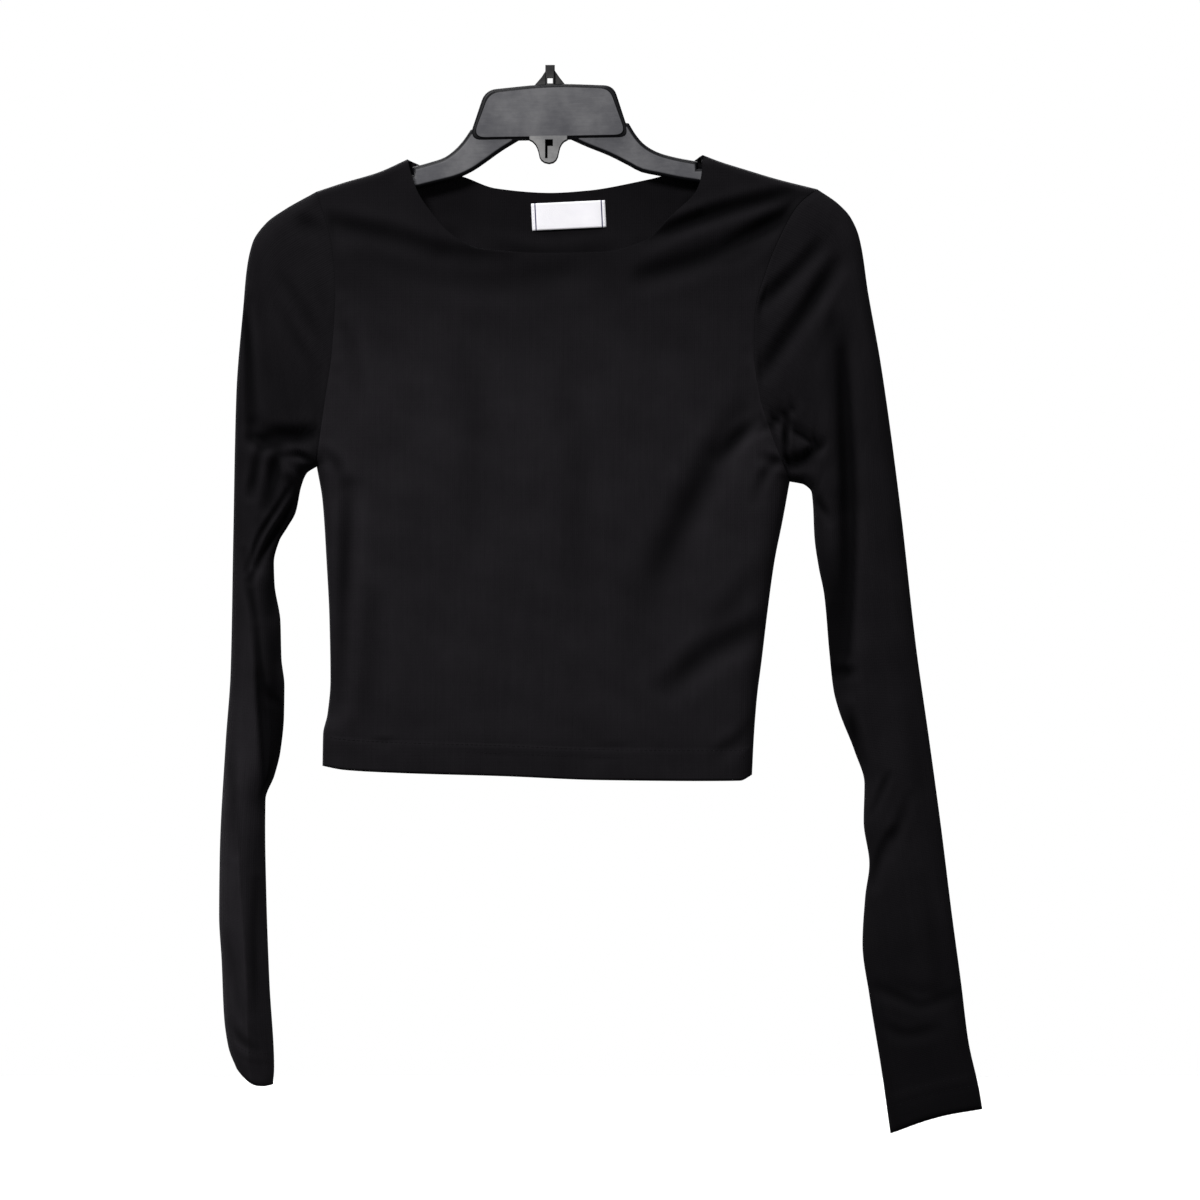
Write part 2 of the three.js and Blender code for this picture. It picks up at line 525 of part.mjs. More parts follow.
// Front or back of the body: a patch stretched between its top, its foot and its two sides
function bodyPanel(face) {
  const top = topEdge(face);
  const foot = footEdge(face, top);
  const right = sideEdge('right', face);
  const left = sideEdge('left', face);
  const rows = right.length;
  const columns = top.length;
  const gap = (SEAM_GAP / 2) * FACING[face];
  const shares = {
    across: foot.map((p) => (p.x - foot[0].x) / (foot[columns - 1].x - foot[0].x)),
    down: right.map((p, j) => {
      const onRight = (right[0].z - p.z) / (right[0].z - right[rows - 1].z);
      const onLeft = (left[0].z - left[j].z) / (left[0].z - left[rows - 1].z);
      return (onRight + onLeft) / 2;
    }),
  };
  const patch = (axis, i, j) => {
    const u = shares.across[i];
    const v = shares.down[j];
    const sides = mix(right[j][axis], left[j][axis], u);
    const ends = mix(top[i][axis], foot[i][axis], v);
    const corners = mix(
      mix(right[0][axis], left[0][axis], u),
      mix(right[rows - 1][axis], left[rows - 1][axis], u),
      v,
    );
    return sides + ends - corners;
  };
  const overShoulder = (i) => top[i].x <= neckPoint.right.x || top[i].x >= neckPoint.left.x;
  const outer = right.map((_, j) =>
    top.map((_, i) => {
      if (i === 0) return right[j];
      if (i === columns - 1) return left[j];
      const x = patch('x', i, j);
      const z = patch('z', i, j);
      if (j === 0 && overShoulder(i)) return { x, y: gap, z };
      return { x, y: FACING[face] * Math.max(depthAt(face, x, z), SEAM_GAP / 2), z };
    }),
  );
  const flipped = face === 'back';
  const inner = insideGrid(outer, flipped);
  for (let j = 0; j < rows; j += 1) {
    for (const [i, edge] of [[0, right[j]], [columns - 1, left[j]]]) {
      inner[j][i] = { x: edge.x + edge.inX, y: edge.y + edge.inY, z: edge.z + edge.inZ };
    }
  }
  for (let i = 0; i < columns; i += 1) {
    if (overShoulder(i)) inner[0][i] = { x: outer[0][i].x, y: gap, z: outer[0][i].z - RIDGE_CLOTH };
  }
  return wallGeometry(outer, inner, flipped);
}

// A tent over a section: 1 at its ridge, 0 at both edges, with a rounded top
function tent(share, ridge) {
  const s = share < ridge ? share / ridge : (1 - share) / (1 - ridge);
  return Math.sin((Math.PI / 2) * s) ** 0.85;
}

// Shares of a sleeve at which one length of it has a ring
function ringStops(from, to) {
  const start = from === 0 ? 0 : from + LENGTH_GAP / 2;
  const end = to === 1 ? 1 : to - LENGTH_GAP / 2;
  const even = Array.from({ length: SLEEVE_STEPS + 1 }, (_, i) => i / SLEEVE_STEPS);
  const clear = 0.3 / SLEEVE_STEPS;
  return [start, ...even.filter((at) => at > start + clear && at < end - clear), end];
}

// Front or back of a length of one sleeve: each ring runs from its outer edge to its inner one.
// The two halves meet at both edges as two sewn pieces do, so that the hollow between them is open.
function sleeveHalf(side, face, from, to) {
  const outward = side === 'right' ? -1 : 1;
  const gap = (SEAM_GAP / 2) * FACING[face];
  const folds = FOLDS[side === 'right' ? 'sleeveRight' : 'sleeveLeft'];
  const edgeX = {
    outer: curve(SLEEVE_EDGE[side].outer, 'z', 'x'),
    inner: curve(SLEEVE_EDGE[side].inner, 'z', 'x'),
  };
  const fan = {
    outer: curve(SLEEVE_FAN[side], 'at', 'outer'),
    inner: curve(SLEEVE_FAN[side], 'at', 'inner'),
  };
  const form = (name) => curve(SLEEVE_FORM[side], 'at', name);
  const half = form('half');
  const round = form('round');
  const ridge = form('ridge');
  const lift = form('lift');
  const edgeRidge = form('edgeRidge');
  const edgeLift = form('edgeLift');
  const hole = armholeSeam(side, face);
  const shoulder = hole[0];
  const crotch = hole[ARMHOLE_STEPS];

  const ringEnds = (at) => {
    const start = { x: edgeX.outer(fan.outer(at)), z: fan.outer(at) };
    const end = { x: edgeX.inner(fan.inner(at)), z: fan.inner(at) };
    return { start, end, length: Math.hypot(end.x - start.x, end.z - start.z) };
  };
  const ringPoint = (at, k) => {
    const share = ringShares[k];
    const seam = hole[k];
    const onEdge = k === 0 || k === ARMHOLE_STEPS;
    if (at === 0) return { x: seam.x + (outward * SEAM_GAP) / 2, y: onEdge ? gap : seam.y, z: seam.z };
    const { start, end, length } = ringEnds(at);
    const hold = THREE.MathUtils.clamp(1 - at / ARMHOLE_FADE, 0, 1) ** 2;
    const bow = CUFF_BOW[side] * at ** 8 * Math.sin(Math.PI * share);
    const x = mix(start.x, end.x, share) + hold * (seam.x - mix(shoulder.x, crotch.x, share));
    const z = mix(start.z, end.z, share) + hold * (seam.z - mix(shoulder.z, crotch.z, share)) - bow;
    const flat = mix(half(at), flatDepth(face, seam.x, seam.z), hold);
    const corner = mix(Math.min(round(at), SIDE_ROUND), SIDE_ROUND, hold);
    const rounded = rise(share * length, round(at)) * rise((1 - share) * length, corner);
    const tents = lift(at) * tent(share, ridge(at)) + edgeLift(at) * tent(share, edgeRidge(at));
    const depth = flat * rounded + tents - foldDepth(folds, x, z) * rounded;
    return { x, y: onEdge ? gap : FACING[face] * Math.max(depth, SEAM_GAP / 2), z };
  };
  const stops = ringStops(from, to);
  const rings = stops.map((at) => ringShares.map((_, k) => ringPoint(at, k)));
  const flipped = (face === 'back') !== (side === 'left');
  const inner = insideGrid(rings, flipped);
  stops.forEach((at, i) => {
    const { start, end, length } = ringEnds(at);
    const inX = (RIDGE_CLOTH * (end.x - start.x)) / length;
    const inZ = (RIDGE_CLOTH * (end.z - start.z)) / length;
    for (const [k, way] of [[0, 1], [ARMHOLE_STEPS, -1]]) {
      const edge = rings[i][k];
      inner[i][k] = { x: edge.x + way * inX, y: edge.y, z: edge.z + way * inZ };
    }
  });
  if (from === 0) {
    inner[0] = rings[0].map((p, k) => ({ x: p.x, y: p.y + hole[k].inY, z: p.z + hole[k].inZ }));
  }
  return wallGeometry(rings, inner, flipped);
}

// The label lies on the inside of the back panel, just in front of it
function neckLabel() {
  const turn = THREE.MathUtils.degToRad(LABEL.tilt);
  const cell = (i, j, depth) => {
    const u = (i / LABEL.steps - 0.5) * LABEL.width;
    const v = (0.5 - j / 2) * LABEL.height;
    const x = LABEL.x + u * Math.cos(turn) - v * Math.sin(turn);
    const z = LABEL.z + u * Math.sin(turn) + v * Math.cos(turn);
    return { x, y: depthAt('back', x, z) - CLOTH - LABEL_BEHIND - depth, z };
  };
  const sheet = (depth) =>
    [0, 1, 2].map((j) => Array.from({ length: LABEL.steps + 1 }, (_, i) => cell(i, j, depth)));
  return wallGeometry(sheet(LABEL_THICKNESS), sheet(0), false);
}

// A solid of a flat outline in X and Z, with its thickness centred on Y and its edges chamfered
function slab(outline, thickness, chamfer) {
  const shape = new THREE.Shape(outline.map((p) => new THREE.Vector2(p.x, p.z)));
  const geometry = new THREE.ExtrudeGeometry(shape, {
    depth: thickness - 2 * chamfer,
    bevelEnabled: chamfer > 0,
    bevelThickness: chamfer,
    bevelSize: chamfer,
    bevelOffset: -chamfer,
    bevelSegments: 1,
  });
  geometry.translate(0, 0, -(thickness / 2 - chamfer));
  geometry.rotateX(Math.PI / 2);
  return toManifold(geometry);
}

function toManifold(geometry) {
  geometry.deleteAttribute('normal');
  geometry.deleteAttribute('uv');
  const merged = mergeVertices(geometry, 1e-4);
  const mesh = new wasm.Mesh({
    numProp: 3,
    vertProperties: new Float32Array(merged.attributes.position.array),
    triVerts: new Uint32Array(merged.index.array),
  });
  return new wasm.Manifold(mesh);
}

function fromManifold(solid) {
  const mesh = solid.getMesh();
  const geometry = new THREE.BufferGeometry();
  geometry.setAttribute('position', new THREE.BufferAttribute(mesh.vertProperties, 3));
  geometry.setIndex(new THREE.BufferAttribute(mesh.triVerts, 1));
  geometry.computeVertexNormals();
  return geometry;
}

function boxOutline(left, right, foot, top) {
  return [{ x: left, z: foot }, { x: right, z: foot }, { x: right, z: top }, { x: left, z: top }];
}

// A closed outline with each corner cut to an arc that starts at its distance from the corner
function roundedOutline(corners, inset) {
  const points = [];
  const moved = corners.map((corner) => {
    const dx = corner.x - PLATE_MIDDLE.x;
    const dz = corner.z - PLATE_MIDDLE.z;
    const length = Math.hypot(dx, dz);
    const pull = inset * Math.SQRT2;
    const x = corner.x - (pull * dx) / length;
    return { x, z: corner.z - inset * Math.sign(dz), round: corner.round };
  });
  moved.forEach((corner, i) => {
    const before = moved[(i + moved.length - 1) % moved.length];
    const after = moved[(i + 1) % moved.length];
    const towards = (other) => {
      const length = Math.hypot(other.x - corner.x, other.z - corner.z);
      const share = Math.min(corner.round / length, 0.45);
      return { x: mix(corner.x, other.x, share), z: mix(corner.z, other.z, share) };
    };
    const start = towards(before);
    const end = towards(after);
    for (let k = 0; k <= CORNER_STEPS; k += 1) {
      const t = k / CORNER_STEPS;
      const x = mix(mix(start.x, corner.x, t), mix(corner.x, end.x, t), t);
      const z = mix(mix(start.z, corner.z, t), mix(corner.z, end.z, t), t);
      points.push({ x, z });
    }
  });
  return points;
}

// One arm's outline: bare beside the neck, a strap notch, then under the cloth to its rounded tip
function armOutline(side) {
  const { top, bottom, tip } = ARM_NECK[side];
  const outward = side === 'right' ? -1 : 1;
  const start = top.at(-1);
  const notchEnd = start.x + outward * NOTCH_WIDTH;
  const armTop = (x) => shoulderLine(x) - ARM_BELOW_CLOTH;
  const seam = SHOULDER[side][0];
  const underTop = [0, 0.3, 0.6, 0.9].map((share) => {
    const x = mix(notchEnd, seam.x, share);
    return { x, z: armTop(x) };
  });
  const round = Array.from({ length: TIP_ARC.steps + 1 }, (_, k) => {
    const angle = Math.PI * (TIP_ARC.from - (k * TIP_ARC.turn) / TIP_ARC.steps);
    return { x: tip.x + outward * TIP_RADIUS * Math.cos(angle), z: tip.z + TIP_RADIUS * Math.sin(angle) };
  });
  const underFoot = underTop.map((p) => ({ x: p.x, z: p.z - ARM_HEIGHT })).reverse();
  return [
    { x: 0, z: -20 },
    ...top,
    { x: start.x, z: start.z - NOTCH_DEPTH },
    { x: notchEnd, z: start.z - NOTCH_DEPTH },
    ...underTop,
    ...round,
    ...underFoot,
    ...bottom,
  ];
}

function hanger() {
  const arms = ['right', 'left'].map((side) => slab(armOutline(side), ARM_THICKNESS, ARM_CHAMFER));
  const rim = slab(roundedOutline(PLATE, 0), PLATE_RIM.thickness, PLATE_RIM.bevel);
  const face = slab(roundedOutline(PLATE, PLATE_FACE.inset), PLATE_FACE.thickness, PLATE_FACE.bevel);
  const peak = slab(PEAK, PEAK_THICKNESS, 0);
  const post = slab(
    boxOutline(-POST.width / 2, POST.width / 2, POST.foot, POST.top),
    POST.thickness,
    POST.chamfer,
  );
  const prong = slab(PRONG, PRONG_THICKNESS, PRONG_CHAMFER);
  const window = slab(
    boxOutline(-WINDOW.width / 2, WINDOW.width / 2, -WINDOW.height / 2, WINDOW.height / 2),
    POST.thickness * 2,
    0,
  );
  const slot = slab(
    boxOutline(PRONG_SLOT.left, PRONG_SLOT.right, PRONG_SLOT.foot, PRONG_SLOT.top),
    PRONG_THICKNESS * 2,
    0,
  );
  const slit = slab(
    boxOutline(PRONG_SLIT.left, PRONG_SLIT.right, PRONG_SLIT.foot, PRONG_SLIT.top),
    PRONG_THICKNESS * 2,
    0,
  );
  const forward = [0, -(PRONG_THICKNESS / 2 + PRONG_WEB), 0];
  const cuts = slot.add(slit).translate(forward);
  const whole = [...arms, rim, face, peak, post].reduce((a, b) => a.add(b));
  return fromManifold(whole.subtract(window).add(prong.subtract(cuts)));
}

const cropTop = new THREE.Group();

function addPiece(name, geometry, material) {
  const mesh = new THREE.Mesh(geometry, material);
  mesh.name = name;
  cropTop.add(mesh);
}

addPiece('front_panel', bodyPanel('front'), jersey());
addPiece('back_panel', bodyPanel('back'), jersey());
for (const side of ['right', 'left']) {
  for (const { name, from, to } of SLEEVE_LENGTHS[side]) {
    addPiece(`${name}_front`, sleeveHalf(side, 'front', from, to), jersey());
    addPiece(`${name}_back`, sleeveHalf(side, 'back', from, to), jersey());
  }
}
addPiece('neck_label', neckLabel(), labelCloth());
addPiece('hanger', hanger(), plastic());

export default cropTop;
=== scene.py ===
# %% [markdown]
# A long-sleeved crop top of fine black jersey, hanging on a moulded store hanger.
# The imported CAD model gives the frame: +X to the right seen from the front, +Z up, the front
# facing -Y, and the origin in the window of the hanger's peak. Sizes are written in
# millimetres, as a dressmaker would, and MM turns them into the frame's metres.
# Right and left are the wearer's, so the right sleeve is at -X.

# %% Load the frame
import math

import bmesh
import bpy
import numpy as np
from mathutils import Matrix, Vector


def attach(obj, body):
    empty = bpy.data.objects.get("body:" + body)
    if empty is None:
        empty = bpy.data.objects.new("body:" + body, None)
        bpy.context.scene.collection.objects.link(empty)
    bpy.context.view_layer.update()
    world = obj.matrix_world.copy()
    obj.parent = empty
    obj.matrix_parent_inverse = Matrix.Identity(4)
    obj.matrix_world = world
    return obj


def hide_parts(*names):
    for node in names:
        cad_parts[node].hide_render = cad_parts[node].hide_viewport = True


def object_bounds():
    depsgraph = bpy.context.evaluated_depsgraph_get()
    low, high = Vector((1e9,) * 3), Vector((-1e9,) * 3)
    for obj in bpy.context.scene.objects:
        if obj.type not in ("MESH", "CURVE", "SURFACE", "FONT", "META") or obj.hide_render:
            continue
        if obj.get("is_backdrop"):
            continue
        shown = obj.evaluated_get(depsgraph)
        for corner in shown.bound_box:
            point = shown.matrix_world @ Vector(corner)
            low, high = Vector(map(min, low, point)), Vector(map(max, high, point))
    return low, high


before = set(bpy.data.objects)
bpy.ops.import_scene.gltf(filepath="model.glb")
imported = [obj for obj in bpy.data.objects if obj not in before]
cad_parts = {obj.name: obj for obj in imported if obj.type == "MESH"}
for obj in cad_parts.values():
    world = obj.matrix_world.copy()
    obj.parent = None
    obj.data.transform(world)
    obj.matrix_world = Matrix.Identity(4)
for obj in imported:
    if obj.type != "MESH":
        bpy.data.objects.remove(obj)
cad_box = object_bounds()
MM = 0.001
print("CAD box", [[round(n, 4) for n in corner] for corner in cad_box])

# %% [markdown]
# The camera stands level and far off in front of the middle of the top, with a long lens, so
# that the hanger and the back keep their places beside the front. The frame is 840 mm wide
# where the cloth hangs, so one photo pixel is 0.70 mm of cloth.

# %% Camera
FRAME_WIDTH = 840
CAMERA_DISTANCE = 5000
CAMERA_AIM = {"x": 35, "y": -8, "z": -364}
SENSOR = 36
LEVEL = math.radians(90)


def added(name, data):
    """A new object in the scene."""
    thing = bpy.data.objects.new(name, data)
    bpy.context.scene.collection.objects.link(thing)
    return thing


def make_camera():
    """A level camera whose frame is FRAME_WIDTH wide where the cloth hangs."""
    data = bpy.data.cameras.new("camera")
    data.sensor_width = SENSOR
    data.lens = SENSOR * CAMERA_DISTANCE / FRAME_WIDTH
    camera = added("camera", data)
    y = CAMERA_AIM["y"] - CAMERA_DISTANCE
    camera.location = Vector((CAMERA_AIM["x"], y, CAMERA_AIM["z"])) * MM
    camera.rotation_euler = (LEVEL, 0, 0)
    bpy.context.scene.camera = camera
    return camera


camera = make_camera()
print("lens", round(camera.data.lens, 2), "mm")

# %% [markdown]
# A garment maker draws a pattern from a few measured points and joins them with a smooth
# curve. The tables below are that pattern: each has named columns, and curve() draws the
# line through two of them without swinging past any point.

# %% A smooth curve through a table


def mix(first, second, share):
    """A share of the way from the first value to the second."""
    return first + (second - first) * share


def curve(starts, ends):
    """A function for the smooth line through two columns of numbers."""
    order = np.argsort(starts)
    x = np.array(starts, float)[order]
    y = np.array(ends, float)[order]
    step = np.diff(x)
    slope = np.diff(y) / step
    bend = np.concatenate([slope[:1], np.zeros(len(x) - 2), slope[-1:]])
    for i in range(1, len(x) - 1):
        if slope[i - 1] * slope[i] > 0:
            before = 2 * step[i] + step[i - 1]
            after = step[i] + 2 * step[i - 1]
            bend[i] = (before + after) / (before / slope[i - 1] + after / slope[i])

    def at(value):
        value = np.clip(value, x[0], x[-1])
        i = np.clip(np.searchsorted(x, value, side="right") - 1, 0, len(step) - 1)
        t = (value - x[i]) / step[i]
        into = t * t * (3 - 2 * t)
        bends = t * (1 - t) ** 2 * bend[i] + t * t * (t - 1) * bend[i + 1]
        return y[i] * (1 - into) + y[i + 1] * into + bends * step[i]

    return at


def track(points, shares):
    """Places on a smooth line through a few (x, z) points, at shares of its length."""
    points = np.array(points, float)
    lengths = np.hypot(*np.diff(points, axis=0).T)
    along = np.concatenate([[0], np.cumsum(lengths)])
    at = np.asarray(shares) * along[-1]
    return curve(along, points[:, 0])(at), curve(along, points[:, 1])(at)


# %% The outline of the body
SHOULDER = {
    "right": {"x": (-163.8, -145, -120, -100), "z": (-77.7, -71.5, -64, -55)},
    "left": {"x": (187.4, 158.8, 135.6, 119, 107), "z": (-76, -68.8, -61.8, -56.6, -52)},
}
ARMHOLE = {
    "right": {
        "z": (-77.7, -118, -148, -190, -222, -250, -270.5),
        "x": (-163.8, -152.6, -150.3, -152.6, -157, -161, -163.6),
    },
    "left": {
        "z": (-76, -87, -110, -132, -164, -190, -222, -245, -281),
        "x": (187.4, 174.3, 161, 151.9, 143.5, 142.8, 147, 154, 168),
    },
}
SIDE_SEAM = {
    "right": {
        "z": (-270.5, -294, -336, -378, -420, -444, -458, -480.2),
        "x": (-163.6, -159.6, -156.8, -154.7, -154, -156.1, -159.2, -159.6),
    },
    "left": {
        "z": (-281, -308, -336, -371, -406, -434, -462, -486.5),
        "x": (168, 163.1, 157.5, 152.6, 148.4, 144.9, 142.8, 141.6),
    },
}
NECKLINE = {
    "front": [
        (-100, -55), (-97.7, -63.4), (-93.2, -76.8), (-82.6, -92.9), (-66, -110), (-50, -118),
        (-6, -121), (35, -120.4), (65.8, -112.5), (87, -93), (102.9, -76.3), (106, -66), (107, -52),
    ],
    "back": [
        (-100, -55), (-84, -61.5), (-62, -66.5), (-38, -75), (0, -78.1), (26, -76.5),
        (60, -70.6), (86, -64), (107, -52),
    ],
}
HEM = {
    "x": (-159.6, -143.5, -105, -35, 35, 105, 133, 141.6),
    "z": (-480.2, -483, -485.1, -487.2, -490, -490.7, -490.5, -486.5),
}
HEM_UNDER_NECK = {"right": -99, "left": 104}
BODY_DEPTH = {
    "z": (-55, -90, -125, -200, -300, -400, -491),
    "front": (8, 9.2, 11.5, 14.5, 15.5, 14, 12.5),
    "back": (8, 8.8, 9.6, 11, 12, 11, 10),
}
FACING = {"front": -1, "back": 1}
SHOULDER_ROUND = 4
SIDE_ROUND = 16
CROWN = 0.16
BODY_HALF_WIDTH = 165
NECK_RISE = 0.45
BACK_SCOOP = 0.7

shoulder_curve = {side: curve(row["x"], row["z"]) for side, row in SHOULDER.items()}
armhole_curve = {side: curve(row["z"], row["x"]) for side, row in ARMHOLE.items()}
side_curve = {side: curve(row["z"], row["x"]) for side, row in SIDE_SEAM.items()}
hem_curve = curve(HEM["x"], HEM["z"])
depth_curve = {face: curve(BODY_DEPTH["z"], BODY_DEPTH[face]) for face in FACING}
underarm = {side: (row["x"][-1], row["z"][-1]) for side, row in ARMHOLE.items()}
print("pit to pit", round(underarm["left"][0] - underarm["right"][0]), "mm")

# %% [markdown]
# On a hanger the body hangs as two nearly flat faces. They meet at the side seams and along
# the shoulders, where the cloth rounds over the hanger's arms. rise() is that quarter round.

# %% Depth of the hanging body


def rise(distance, radius):
    """0 at an edge, and 1 once the distance from it reaches the radius."""
    share = np.clip(distance / radius, 0, 1)
    return np.sqrt(1 - (1 - share) ** 2)


def ease(value):
    """A soft step from 0 to 1 as the value goes from 0 to 1."""
    value = np.clip(value, 0, 1)
    return value * value * (3 - 2 * value)


def shoulder_line(x):
    """Height of the shoulder line, carried on over the open neck."""
    right, left = SHOULDER["right"]["x"][-1], SHOULDER["left"]["x"][-1]
    over_neck = SHOULDER["right"]["z"][-1] + NECK_RISE * np.minimum(x - right, left - x)
    line = np.where(x < right, shoulder_curve["right"](x), over_neck)
    return np.where(x > left, shoulder_curve["left"](x), line)


def from_side(side, x, z):
    """Distance to a side seam, which starts at the underarm."""
    corner_x, corner_z = underarm[side]
    above = np.hypot(x - corner_x, z - corner_z)
    return np.where(z > corner_z, above, np.abs(x - side_curve[side](z)))


def flat_depth(face, x, z):
    """Depth of the body with no rounding at its seams."""
    return depth_curve[face](z) * (1 - CROWN * (x / BODY_HALF_WIDTH) ** 2)


def body_round(x, z):
    """Share of its depth that the body has at a point, 0 on its seams."""
    return (
        rise(shoulder_line(x) - z, SHOULDER_ROUND)
        * rise(from_side("right", x, z), SIDE_ROUND)
        * rise(from_side("left", x, z), SIDE_ROUND)
    )


def armhole_seam(side, face, share):
    """The armhole seam at a share of the way from the shoulder to the underarm."""
    top_x, top_z = ARMHOLE[side]["x"][0], ARMHOLE[side]["z"][0]
    foot_x, foot_z = underarm[side]
    z = mix(top_z, foot_z, share)
    straight = mix(top_x, foot_x, share)
    scoop = 1 if face == "front" else BACK_SCOOP
    x = straight + scoop * (armhole_curve[side](z) - straight)
    height = top_z - foot_z
    rounded = rise(share * height, SHOULDER_ROUND) * rise((1 - share) * height, SIDE_ROUND)
    return x, z, flat_depth(face, x, z) * rounded


print("depth at the middle of the chest", round(float(flat_depth("front", 0, -250)), 1), "mm")

# %% [markdown]
# Jersey that hangs from a hanger pulls into soft folds: long ones that fall from the
# shoulders and the underarms, and short sharp ones where the sleeve bunches up under the
# arm. They could be simulated, but the real ones are known, so each is placed one by one. The
# broad folds are the ones that the CAD solids have too. The creases are finer, and each
# follows a smooth track with lips raised beside it.

# %% Broad folds
# Each row is a fold: x and z of its start, x and z of its end, its half width and its depth.
# A depth below zero is a ridge.
FOLDS = {
    "front": [
        (73, -108, 156, -85, 7, 1.3),
        (70, -136, 172, -92, 10, 1.9),
        (138, -218, 63, -364, 24, 2.6),
        (141, -385, 84, -425, 10, 1.6),
        (-150, -102, -76, -124, 9, 1.6),
        (-76, -126, 8, -136, 10, 1.8),
        (-139, -287, -145, -434, 9, 2),
        (140, -236, 118, -262, 9, 2.2),
    ],
    "back": [
        (-138, -212, -70, -350, 22, 2.4),
        (139, -230, 104, -300, 16, 2),
        (-60, -120, 62, -126, 12, 1.4),
        (131, -330, 126, -450, 10, 1.8),
    ],
    "right": [
        (-176, -250, -206, -243, 6, 3),
        (-179, -292, -201, -340, 7, 3.2),
        (-214, -156, -208, -250, 5, 2),
        (-184, -274, -176, -270, 5, -1.6),
    ],
    "left": [
        (150, -154, 189, -116, 9, 2.2),
        (153, -201, 201, -128, 10, 2.6),
        (203, -190, 208, -300, 8, 1.4),
        (160, -240, 189, -256, 6, 2.6),
        (162, -266, 182, -270, 6, 3),
        (229, -637, 270, -642, 7, 1.3),
        (238, -532, 226, -562, 6, 1.8),
    ],
}


def from_line(x, z, start, end):
    """The share of a straight line that lies before each point, and how far off it in X and Z."""
    dx, dz = end[0] - start[0], end[1] - start[1]
    along = ((x - start[0]) * dx + (z - start[1]) * dz) / (dx * dx + dz * dz)
    share = np.clip(along, 0, 1)
    return share, x - start[0] - share * dx, z - start[1] - share * dz


def fold_depth(rows, x, z):
    """How deep broad folds press the cloth in."""
    pressed = np.zeros_like(x)
    for x1, z1, x2, z2, width, depth in rows:
        _, off_x, off_z = from_line(x, z, (x1, z1), (x2, z2))
        away = np.hypot(off_x, off_z) / width
        pressed += depth * np.exp(-away * away)
    return pressed


